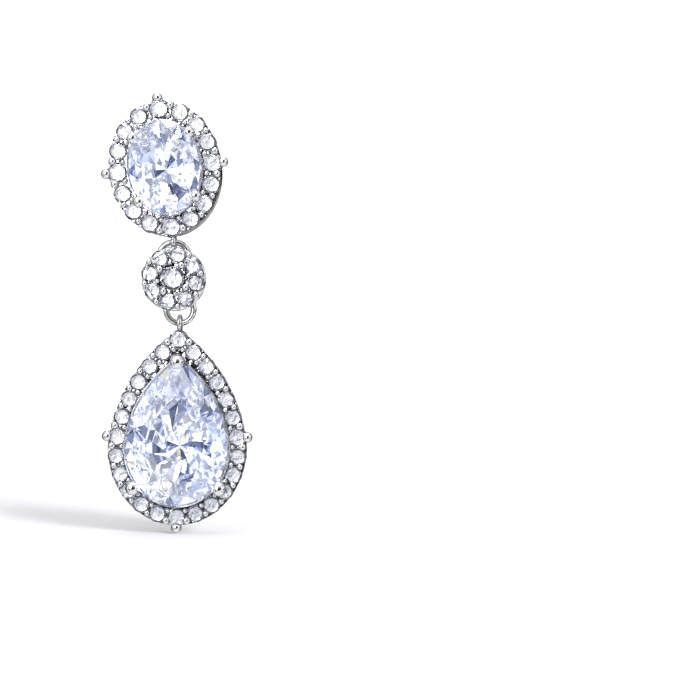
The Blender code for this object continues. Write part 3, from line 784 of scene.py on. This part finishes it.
def halo_spots(places):
    """Spots for the stones, the outer beads and the inner beads."""
    stones, outer, inner = [], [], []
    for i, (point, size, accent) in enumerate(places):
        stones.append((*point, 0.0, size, math.atan2(point[1], point[0])))
        after, after_size, after_accent = places[(i + 1) % len(places)]
        side = right_of(unit(after - point)) * BEAD_SHARE * (size + after_size) / 2
        between = (point + after) / 2
        width = OUTER_BEAD_BY_ACCENT if accent or after_accent else OUTER_BEAD
        outer.append((*(between + side), OUTER_BEAD_RISE, width, 0.0))
        inner.append((*(between - side), INNER_BEAD_RISE, INNER_BEAD, 0.0))
    return stones, outer, inner


oval_line = oval_outline(*OVAL_LINE, 400)
quarter = path_length(oval_line) / 4
oval_corners = [0, quarter, 2 * quarter, 3 * quarter]
oval_places = halo_places(oval_line, oval_corners, OVAL_ACCENT, OVAL_SMALL)
PEAR_SIDE_HEIGHT = 1.0
pear_line = pear_outline(*PEAR_LINE, 800)
pear_whole = path_length(pear_line)
side_share = int(np.argmax(pear_line[:, 1] < PEAR_SIDE_HEIGHT)) / len(pear_line)
pear_corners = [0, side_share * pear_whole, pear_whole / 2, (1 - side_share) * pear_whole]
pear_places = halo_places(pear_line, pear_corners, PEAR_ACCENT, PEAR_SMALL)
print("stones round the oval", len(oval_places), "and round the pear", len(pear_places))


# %% [markdown]
# ## The halos
#
# The front of a halo is a plate with a scalloped edge of cups, and a smooth polished wall
# runs back from it to the ear. The band is swept round the outline with soft edges, a thin
# bright rim holds the main stone, and the fields fill in cups, stones and beads.


# %% Halo builder
PLATE_REACH, PLATE_FRONT, PLATE_STEP = 0.78, 0.02, -0.6
PLATE_BACK, WALL_THICKNESS = -1.0, 0.5
INSIDE_STONE_EDGE = -0.35
CORNER_STRETCH = 1.2
RIM_SECTION = [(0.05, -0.3), (0.05, 0.14), (0.13, 0.14), (0.17, -0.3)]
SIDES = ("top", "right", "bottom", "left")


def halo_band(prefix, cluster, stone_edge, line, back, depth):
    """Plate and wall in one band, and the rim. back is the offset of the wall's far edge."""
    plate = rounded([
        (PLATE_REACH, PLATE_FRONT), (PLATE_REACH, PLATE_STEP), (back, -depth),
        (back - WALL_THICKNESS, -depth), (0.0, PLATE_BACK),
    ], 0.09)
    section = [(grown(line, offset, CORNER_STRETCH), w) for offset, w in plate]
    section += [(grown(stone_edge, INSIDE_STONE_EDGE), w) for w in (PLATE_BACK, 0.0)]
    rim = [(grown(stone_edge, offset), w) for offset, w in rounded(RIM_SECTION, 0.04)]
    shapes = [band(cluster, section), band(cluster, rim)]
    mesh = make_mesh(prefix + "_halo_band", shapes, [RHODIUM, RHODIUM_CAST], smooth=True)
    front = cluster["middle"][1] + 1.5
    for face in mesh.polygons:
        face.material_index = int(abs(face.normal.y) > 0.5 and face.center.y / MM < front)
    return add_piece(prefix + "_halo_band", mesh)


def dress_halo(prefix, cluster, body, stone_edge, line, back, depth, places):
    """The band of a halo and the fields on it."""
    piece = halo_band(prefix, cluster, stone_edge, line, back, depth)
    settle(piece, body, [prefix + "_setting"])
    stones, outer, inner = halo_spots(places)
    accents = [f"{prefix}_accent_{side}" for side in SIDES]
    for i, stone in enumerate(STONE_MASTERS):
        name = f"{prefix}_halo_stones_{i + 1}"
        piece = field(name, cluster, stones[i::4], stone, CLEAR_CROWN, SMALL_STONE, False)
        settle(piece, body, accents if i == 0 else ())
    for ending, spots, part, finish in (
        ("_cups", stones, CUP_MASTER, RHODIUM),
        ("_beads", outer + inner, BEAD_MASTER, RHODIUM),
        ("_back_collars", stones, BACK_COLLAR_MASTER, RHODIUM),
        ("_back_holes", stones, BACK_HOLE_MASTER, RHODIUM_PAINTED_SHADE),
    ):
        metal_field(prefix + ending, cluster, body, spots, part, finish)


dress_halo(
    "oval", STUD, "stud", oval_edge(160), oval_outline(*OVAL_LINE, 160),
    back=0.68, depth=3.15, places=oval_places,
)
dress_halo(
    "pear", DROP, "drop", pear_edge(200), pear_outline(*PEAR_LINE, 200),
    back=0.42, depth=2.6, places=pear_places,
)

# %% [markdown]
# ## Claws, edge beads and the basket
#
# Four claws hold the oval and three hold the pear. Each is a stub of wire with a ball melted
# onto its end, so it is a turned profile: a tapered root and a round head. A larger bead
# stands outside each accent that no link hangs from. Behind the stone, a ring of wire and
# struts make the basket.


# %% Claws, edge beads and baskets
CLAW_RISE, CLAW_LEAN = 0.62, 0.8
CLAW_FOOT = 0.35
EDGE_BEAD_RADIUS, EDGE_BEAD_GAP = 0.5, 0.15
BASKET_WIRE, STRUT_TOP = 0.7, -0.7


def claw(cluster, u, v, out, width):
    """The root and the ball of a claw. Its foot stands a little further out than its head."""
    rise = CLAW_RISE * width
    stub = (1 - CLAW_RISE) * width / 2 * CLAW_LEAN
    foot = in_cluster(cluster, u + out[0] * stub, v + out[1] * stub, -CLAW_FOOT)
    head = in_cluster(cluster, u, v, rise)
    taper = [(0.36 * width, 0.0), (0.31 * width, 0.6), (0.27 * width, CLAW_FOOT + rise)]
    root = turned(taper, 20, foot, head - foot)
    return [root, turned(ball_profile(width / 2, 14), 28, head, OUT)]


def edge_bead(cluster, point, out, size):
    """The bead outside an accent of that size."""
    reach = size / 2 + EDGE_BEAD_GAP
    spot = in_cluster(cluster, point[0] + out[0] * reach, point[1] + out[1] * reach, 0.0)
    return turned(ball_profile(EDGE_BEAD_RADIUS, 12), 24, spot, OUT)


def tube(points, width, sides=12):
    """A closed wire through points, round in section."""
    count = len(points)
    rings = []
    for i, point in enumerate(points):
        ahead = (points[(i + 1) % count] - points[i - 1]).normalized()
        side = ahead.cross(OUT).normalized()
        lift = side.cross(ahead).normalized()
        turns = [2 * math.pi * k / sides for k in range(sides)]
        rings.append([point + (side * math.cos(t) + lift * math.sin(t)) * width / 2 for t in turns])
    return join_rings(rings, True)


def basket(cluster, outline, struts, depth):
    """A ring of wire behind the stone, and a strut from it up to each claw."""
    low_w = BASKET_WIRE / 2 - depth
    shapes = [tube([in_cluster(cluster, u, v, low_w) for u, v in outline], BASKET_WIRE)]
    for low, high in struts:
        start, end = in_cluster(cluster, *low, low_w), in_cluster(cluster, *high, STRUT_TOP)
        shapes.append(rod(start, end, BASKET_WIRE * 0.95, BASKET_WIRE * 1.1))
    return shapes


def claw_spot(side, end, angle, half, reach):
    """A spot on the edge of an oval, and the direction straight out of it there."""
    spot = np.array([side * math.cos(angle) * half, end * math.sin(angle) * reach])
    return spot, unit(spot / np.array([half, reach]) ** 2)


def add_wirework(name, shapes, body, sharp=50):
    """A piece of polished metal out of balls and wires."""
    piece = add_piece(name, make_mesh(name, shapes, [RHODIUM], smooth=True, sharp=sharp))
    settle(piece, body)


# %% [markdown]
# ## The oval's claws
#
# The four claws stand at the shoulders of the oval, just outside its edge, so that their balls
# fold over the stone. A strut leads from each to the basket ring. The top, right and left
# accents have a bead outside them, and the stud's eye takes the place of the fourth.


# %% Claws and basket of the oval
OVAL_CLAW, OVAL_CLAW_ANGLE = 1.15, math.radians(41.5)
OVAL_CLAW_OUT = 0.05
OVAL_BASKET_IN, OVAL_STRUT_OUT = 0.5, 0.1
OVAL_BASKET_DEPTH = 3.1
oval_claws, oval_struts = [], []
for side in (1, -1):
    for end in (1, -1):
        spot, out = claw_spot(side, end, OVAL_CLAW_ANGLE, OVAL["half"], OVAL["end"])
        oval_claws += claw(STUD, *(spot + out * OVAL_CLAW_OUT), out, OVAL_CLAW)
        oval_struts.append((spot - out * OVAL_BASKET_IN, spot + out * OVAL_STRUT_OUT))
for point, size, is_accent in [place for place in oval_places if place[2]][:3]:
    oval_claws.append(edge_bead(STUD, point, unit(point), size))
ring_line = grown(oval_edge(96), -OVAL_BASKET_IN)
add_wirework("oval_claws", oval_claws, "stud")
add_wirework("oval_basket", basket(STUD, ring_line, oval_struts, OVAL_BASKET_DEPTH), "stud")

# %% [markdown]
# ## The pear's claws
#
# A pear is weakest at its tip, so one claw covers it, and two more hold the round end. The
# basket is a smaller pear of wire with five struts: one to each claw, and one to the middle of
# each long side. The bead outside an accent stands straight out to the side or straight down.


# %% Claws and basket of the pear
PEAR_CLAW, PEAR_CLAW_ANGLE = 1.42, math.radians(40.5)
PEAR_CLAW_OUT = 0.35
PEAR_BASKET_SHARE, PEAR_BASKET_DEPTH = 0.45, 3.3
PEAR_SIDE_STRUT = np.array([4.18, 4.0])
SIDE_STRUT_OUT = 1.02
pear_spots = [(np.array([0.0, PEAR["high"] - PEAR_CLAW_OUT]), np.array([0.0, 1.0]))]
for side in (1, -1):
    spot, out = claw_spot(side, -1, PEAR_CLAW_ANGLE, PEAR["half"], PEAR["low"])
    pear_spots.append((spot + out * PEAR_CLAW_OUT, out))
pear_claws, pear_struts = [], []
for spot, out in pear_spots:
    pear_claws += claw(DROP, *spot, out, PEAR_CLAW)
    pear_struts.append((spot * PEAR_BASKET_SHARE, spot))
for side in (1, -1):
    spot = PEAR_SIDE_STRUT * (side, 1) * SIDE_STRUT_OUT
    pear_struts.append((spot * PEAR_BASKET_SHARE, spot))
outs = ((-1.0, 0.0), (0.0, -1.0), (1.0, 0.0))
for (point, size, is_accent), out in zip([place for place in pear_places if place[2]][1:], outs):
    pear_claws.append(edge_bead(DROP, point, out, size))
ring_line = pear_edge(96) * PEAR_BASKET_SHARE
add_wirework("pear_claws", pear_claws, "drop")
add_wirework("pear_basket", basket(DROP, ring_line, pear_struts, PEAR_BASKET_DEPTH), "drop")

# %% [markdown]
# ## Jump rings and eyes
#
# A jump ring is a turn of round wire, cut once and pinched shut, so a fine seam shows. A
# curve tree makes it: an arc that stops just short of a full turn, swept with a round
# profile and closed at both ends. The soldered eyes are the same tree without the seam's gap.


# %% The wire ring tree
ARC_POINTS, WIRE_POINTS = 72, 18
SEAM_SWEEP, FULL_SWEEP = 357.0, 360.0
UPPER_TURN, LOWER_TURN, EYE_TURN = (90, 20, 0), (90, -150, 0), (0, 90, 0)


def ring_tree():
    """Sweeps a round wire along an arc, and puts it in place."""
    tree, given = new_tree("wire_ring", {
        "Radius": "Float", "Wire": "Float", "Sweep": "Float", "Turn": "Vector",
        "Place": "Vector", "Finish": "Material",
    }, "Ring")
    arc = add_node(tree, "GeometryNodeCurveArc", {
        "Resolution": ARC_POINTS, "Radius": given["Radius"], "Sweep Angle": given["Sweep"],
    })
    half = add_node(tree, "ShaderNodeMath", {0: given["Wire"], 1: 0.5}, operation="MULTIPLY")
    section = add_node(tree, "GeometryNodeCurvePrimitiveCircle", {
        "Resolution": WIRE_POINTS, "Radius": half[0],
    })
    wire = add_node(tree, "GeometryNodeCurveToMesh", {
        "Curve": arc["Curve"], "Profile Curve": section["Curve"], "Fill Caps": True,
    })
    moved = add_node(tree, "GeometryNodeTransform", {
        "Geometry": wire["Mesh"], "Rotation": given["Turn"], "Translation": given["Place"],
    })
    real = add_node(tree, "GeometryNodeRealizeInstances", {"Geometry": moved["Geometry"]})
    ring = finished(tree, real["Geometry"], given["Finish"])
    add_node(tree, "NodeGroupOutput", {"Ring": ring})
    return tree


RING_TREE = ring_tree()


def wire_ring(name, centre, radius, wire, sweep, turn):
    """A ring of round wire. sweep and turn are in degrees."""
    carrier = add_piece(name + "_carrier", bpy.data.meshes.new(name + "_carrier"))
    mesh = made_by(RING_TREE, carrier, {
        "Radius": radius * MM, "Wire": wire * MM, "Sweep": math.radians(sweep),
        "Turn": [math.radians(t) for t in turn], "Place": [c * MM for c in centre],
        "Finish": RHODIUM,
    })
    turn_outward(mesh, merge=True)
    shade_smooth(mesh, sharp=50)
    return add_piece(name, mesh)


def below(point, distance):
    """The place straight under a point."""
    return (point[0], point[1], point[2] - distance)


upper_centre = below(UPPER_EYE, UPPER_RADIUS)
flower_eye = below(upper_centre, UPPER_RADIUS)
lower_centre = below(LOWER_EYE, LOWER_RADIUS)
drop_eye = below(lower_centre, LOWER_RADIUS)
for name, centre, radius, turn in (
    ("upper", upper_centre, UPPER_RADIUS, UPPER_TURN),
    ("lower", lower_centre, LOWER_RADIUS, LOWER_TURN),
):
    ring = wire_ring(name + "_ring_wire", centre, radius, RING_WIRE, SEAM_SWEEP, turn)
    settle(ring, name + "_ring", [name + "_jump_ring"])
for name, centre, body in (
    ("stud_eye", UPPER_EYE, "stud"),
    ("flower_upper_eye", flower_eye, "flower"),
    ("flower_lower_eye", LOWER_EYE, "flower"),
    ("drop_eye", drop_eye, "drop"),
):
    eye = wire_ring(name, centre, EYE_RADIUS, EYE_WIRE, FULL_SWEEP, EYE_TURN)
    settle(eye, body)

# %% [markdown]
# ## The flower
#
# Eight stones sit round a larger one. From the side the cluster shows a scalloped front, a
# dark groove, and a polished band behind, so its body is turned on a lathe, and the cups
# and beads come from the same fields as on the halos.

# %% Flower body and stones
FLOWER_BACK_BAND = [
    (0.0, -1.3), (2.88, -1.3), (3.0, -1.24), (3.05, -1.14), (3.06, -1.08), (3.02, -0.98),
    (2.9, -0.91), (2.62, -0.86),
]
FLOWER_GROOVE = [(2.55, -0.78), (2.55, -0.6)]
FLOWER_FRONT = [
    (2.68, -0.5), (2.71, -0.42), (2.71, -0.04), (2.66, 0.0), (2.5, 0.0), (2.4, -0.1), (0.0, -0.1),
]
RIM_BEAD_RADIUS, RIM_BEAD = 2.68, 0.55
HEART_BEAD_RADIUS, HEART_BEAD, HEART_BEAD_LARGE = 1.485, 0.42, 0.66
BEAD_RISE = 0.1
FLOWER_COLLAR_W = -0.42
STEM_FRONT_GAP, STEM_BACK_Y = 0.55, -2.9
STEM_WIDTH, STEM_FOOT_WIDTH = 0.62, 0.8
flower_profile = FLOWER_BACK_BAND + FLOWER_GROOVE + FLOWER_FRONT
body_shape = turned(flower_profile, 96, in_cluster(FLOWER, 0, 0, 0), OUT)
body_mesh = make_mesh("flower_body", [body_shape], [RHODIUM_CAST], smooth=True)
settle(add_piece("flower_body", body_mesh), "flower", ["flower_setting"])

petals, rim_beads, heart_beads = [], [], []
for i in range(8):
    gap = 2 * math.pi * i / 8
    facing = gap + math.pi / 8
    petals.append((PETAL_RADIUS * math.cos(facing), PETAL_RADIUS * math.sin(facing), 0.0, PETAL, facing))
    toward = (math.cos(gap), math.sin(gap))
    rim_beads.append((*(RIM_BEAD_RADIUS * t for t in toward), BEAD_RISE, RIM_BEAD, gap))
    width = HEART_BEAD_LARGE if i % 2 else HEART_BEAD
    rise = BEAD_RISE + BEAD_RISE * (i % 2)
    heart_beads.append((*(HEART_BEAD_RADIUS * t for t in toward), rise, width, gap))
heart = [(0.0, 0.0, 0.0, HEART, 0.0)]
for i, stone in enumerate(STONE_MASTERS):
    spots = petals[i::4] + (heart if i == 1 else [])
    nodes = [f"flower_stone_{k + 1}" for k in range(i, 8, 4)]
    if i == 1:
        nodes.append("flower_centre_stone")
    piece = field(f"flower_stones_{i + 1}", FLOWER, spots, stone, CLEAR_CROWN, SMALL_STONE, False)
    settle(piece, "flower", nodes)
back_spots = [(u, v, FLOWER_COLLAR_W, size, facing) for u, v, _, size, facing in petals]
for ending, spots, part in (
    ("cups", petals + heart, CUP_MASTER),
    ("beads", rim_beads + heart_beads, BEAD_MASTER),
    ("back_collars", back_spots, BACK_COLLAR_MASTER),
):
    metal_field("flower_" + ending, FLOWER, "flower", spots, part, RHODIUM)
stems = []
for x, _, z in (flower_eye, LOWER_EYE):
    stems.append(
        rod((x, CHAIN_Y - STEM_FRONT_GAP, z), (x, STEM_BACK_Y, z), STEM_WIDTH, STEM_FOOT_WIDTH)
    )
add_wirework("flower_stems", stems, "flower", sharp=40)

# %% [markdown]
# ## The post
#
# The post is drawn wire, soldered to a small round pad. It tapers, has a groove near its tip
# that a push back clicks into, and a rounded end. One turned profile makes it, and a short
# brace ties the pad to the wall.

# %% Post, pad and the stems of the other eyes
PAD_AND_FILLET = [
    (1.12, -0.55), (1.2, -0.5), (1.2, 0.0), (0.82, 0.0), (0.72, 0.06), (0.655, 0.2), (0.6, 2.0),
]
POST_GROOVE = [(0.47, 8.5), (0.46, 8.56), (0.345, 8.68), (0.33, 8.8), (0.345, 8.92), (0.45, 9.04)]
POST_TIP = [(0.44, 9.8), (0.415, 10.1), (0.34, 10.34), (0.2, 10.46), (0.0, 10.5)]
BRACE_W, BRACE_WIDTH = -2.93, 0.5
STEM_W = -1.3
post = turned(PAD_AND_FILLET + POST_GROOVE + POST_TIP, 32, (0, 0, 0), (0, 1, 0))
brace = rod(in_cluster(STUD, 0, 4.2, BRACE_W), in_cluster(STUD, 0, 6.05, BRACE_W), BRACE_WIDTH)
stud_stem = rod(in_cluster(STUD, 0, -6.33, STEM_W), in_cluster(STUD, 0, -5.4, STEM_W), 0.6, 0.9)
add_wirework("ear_post", [post, brace, stud_stem], "stud")
stem_top = Vector(drop_eye) - Vector((0, 0, EYE_RADIUS))
drop_stem = rod(stem_top, in_cluster(DROP, 0, 10.0, STEM_W), 0.55, 1.0)
add_wirework("drop_stem", [drop_stem], "drop", sharp=40)

for part in STONE_MASTERS + METAL_MASTERS:
    bpy.data.objects.remove(part, do_unlink=True)

# %% [markdown]
# ## The studio
#
# The picture is taken level and from some way off, so a long lens fits. The camera stands to
# the right, so a little of the right wall shows. A plain white sheet is the floor. Reflections
# and stones leave it out, and see the light of the next step instead.

# %% Camera and floor
SCALE = 0.0945
CAMERA_AWAY = 145.0
CAMERA_X, CAMERA_Z = 17.95, -21.38
FACE_Y = -3.2
SENSOR = 36.0
IMAGE = 700
FLOOR_Z, FLOOR_REACH = -38.75, 1500.0
PAPER_WHITE = (0.93, 0.93, 0.935, 1.0)
camera_data = bpy.data.cameras.new("camera")
camera_data.sensor_width = SENSOR
camera_data.lens = SENSOR * CAMERA_AWAY / (IMAGE * SCALE)
camera_data.clip_start = 0.005
camera = bpy.data.objects.new("camera", camera_data)
bpy.context.scene.collection.objects.link(camera)
camera.location = Vector((CAMERA_X, FACE_Y - CAMERA_AWAY, CAMERA_Z)) * MM
camera.rotation_euler = (math.radians(90), 0, 0)
bpy.context.scene.camera = camera

corners = ((-1, -1), (1, -1), (1, 1), (-1, 1))
points = [(x * FLOOR_REACH, y * FLOOR_REACH, FLOOR_Z) for x, y in corners]
paper = new_material("white_paper", Base_Color=PAPER_WHITE, Roughness=0.9)[0]
floor = add_piece("white_floor", make_mesh("white_floor", [(points, [(0, 1, 2, 3)])], [paper]))
floor.visible_glossy = False
floor.visible_transmission = False
print("camera lens, mm", round(camera_data.lens, 1))

# %% [markdown]
# ## The light
#
# Polished metal and cut stones need something dark to show against, so the light round them is
# white with a few soft dark bands, as a photographer makes with black cards. The pattern depends
# on the direction only. One part of it is rings round a direction, and one is uneven cards. The
# metal has one such pattern and the stones a finer, bluer one. Level and steep directions differ
# for the metal, so that the tops of the walls stay light. The floor sees an even white and a
# soft low light, and the camera sees white.


# %% The pattern of the light
METAL_RINGS = [
    (0.0, 0.75), (0.03, 0.75), (0.05, 0.13), (0.22, 0.11), (0.34, 0.22), (0.43, 0.5),
    (0.52, 0.9), (0.6, 1.0), (0.9, 1.0), (0.93, 0.12), (1.0, 0.03),
]
METAL_CARDS = [(0.0, 0.03), (0.44, 0.05), (0.475, 1.0), (1.0, 1.0)]
METAL_FINENESS = 2.4
METAL_STEEP = [(0.0, 0.0), (0.35, 0.02), (0.62, 0.5), (0.8, 0.75), (1.0, 0.8)]
STONE_RINGS = [(0.0, 0.6, 0.65, 0.82), (0.4, 0.88, 0.91, 0.98), (0.6, 1.0), (1.0, 1.0)]
STONE_CARDS = [
    (0.0, 0.05, 0.055, 0.08), (0.43, 0.09, 0.10, 0.15), (0.455, 0.6, 0.66, 0.82),
    (0.5, 0.86, 0.89, 0.98), (0.545, 1.0, 1.0, 1.0),
]
STONE_FINENESS = 3.4
CARD_DETAIL = 0.6
RINGS_ROUND = (0.17, -0.97, 0.17)
FLOOR_LIGHT = (0.74, 0.74, 0.77, 1.0)
SEEN_WHITE = (1.2, 1.2, 1.2, 1.0)
LIGHT_STRENGTH = 1.1


def fill_ramp(ramp, stops):
    """Sets a ramp's stops from (position, grey) or (position, red, green, blue)."""
    while len(ramp.elements) < len(stops):
        ramp.elements.new(1.0)
    for element, (position, *colour) in zip(ramp.elements, stops):
        element.position = position
        element.color = (*(colour if len(colour) == 3 else colour * 3), 1.0)


def studio_light():
    """The light from every direction. What it shows depends on which ray asks."""
    world = bpy.data.worlds.new("studio")
    bpy.context.scene.world = world
    world.use_nodes = True
    tree = world.node_tree
    direction = add_node(tree, "ShaderNodeTexCoord")["Generated"]
    toward = add_node(
        tree, "ShaderNodeVectorMath", {0: direction, 1: RINGS_ROUND}, operation="DOT_PRODUCT"
    )
    share = add_node(tree, "ShaderNodeMapRange", {"Value": toward["Value"], "From Min": -1.0})

    def ramp(value, stops):
        """The colour that a ramp has at a value."""
        colour = add_node(tree, "ShaderNodeValToRGB", {"Fac": value})["Color"]
        fill_ramp(colour.node.color_ramp, stops)
        return colour

    def pattern(rings, cards, fineness):
        """Rings of light, darkened by uneven cards."""
        waves = add_node(tree, "ShaderNodeTexNoise", {
            "Vector": direction, "Scale": fineness, "Detail": CARD_DETAIL,
        })
        return mixed(tree, "MULTIPLY", ramp(share["Result"], rings), ramp(waves["Fac"], cards))

    axes = add_node(tree, "ShaderNodeSeparateXYZ", {0: direction})
    steep = add_node(tree, "ShaderNodeMath", {0: axes["Z"]}, operation="ABSOLUTE")
    on_metal = pattern(METAL_RINGS, METAL_CARDS, METAL_FINENESS)
    on_metal = mixed(tree, "LIGHTEN", on_metal, ramp(steep[0], METAL_STEEP))
    in_stones = pattern(STONE_RINGS, STONE_CARDS, STONE_FINENESS)
    rays = add_node(tree, "ShaderNodeLightPath")
    light = mixed(tree, "MIX", on_metal, in_stones, rays["Is Transmission Ray"])
    light = mixed(tree, "MIX", light, FLOOR_LIGHT, rays["Is Diffuse Ray"])
    light = mixed(tree, "MIX", light, SEEN_WHITE, rays["Is Camera Ray"])
    feed(tree.nodes["Background"], {"Color": light, "Strength": LIGHT_STRENGTH})


studio_light()
print("patterns of light", 2)


# %% Lamps
def add_lamp(name, kind, energy, aim):
    """A lamp that shines along aim."""
    light = bpy.data.lights.new(name, kind)
    light.energy = energy
    lamp = bpy.data.objects.new(name, light)
    bpy.context.scene.collection.objects.link(lamp)
    lamp.rotation_euler = Vector(aim).to_track_quat("-Z", "Y").to_euler()
    return lamp


def soft_box(name, place, target, width, power):
    """A square light that metal and stones show and the floor leaves out."""
    lamp = add_lamp(name, "AREA", power, Vector(target) - Vector(place))
    lamp.data.shape = "RECTANGLE"
    lamp.data.size = lamp.data.size_y = width * MM
    lamp.location = Vector(place) * MM
    lamp.visible_diffuse = False


soft_box("top_light", (0, -30, 220), (5, 0, -20), width=130, power=0.9)
soft_box("front_light", (-120, -260, 60), (0, 0, -20), width=160, power=0.25)

# Only the floor shows this low light, so the drop stands in front of a soft shade.
low_light = add_lamp("low_light", "SUN", 2.8, (-0.62, 0.7, -0.4))
low_light.data.angle = math.radians(20.0)
low_light.visible_glossy = low_light.visible_transmission = False
bpy.context.scene.view_settings.view_transform = "Standard"
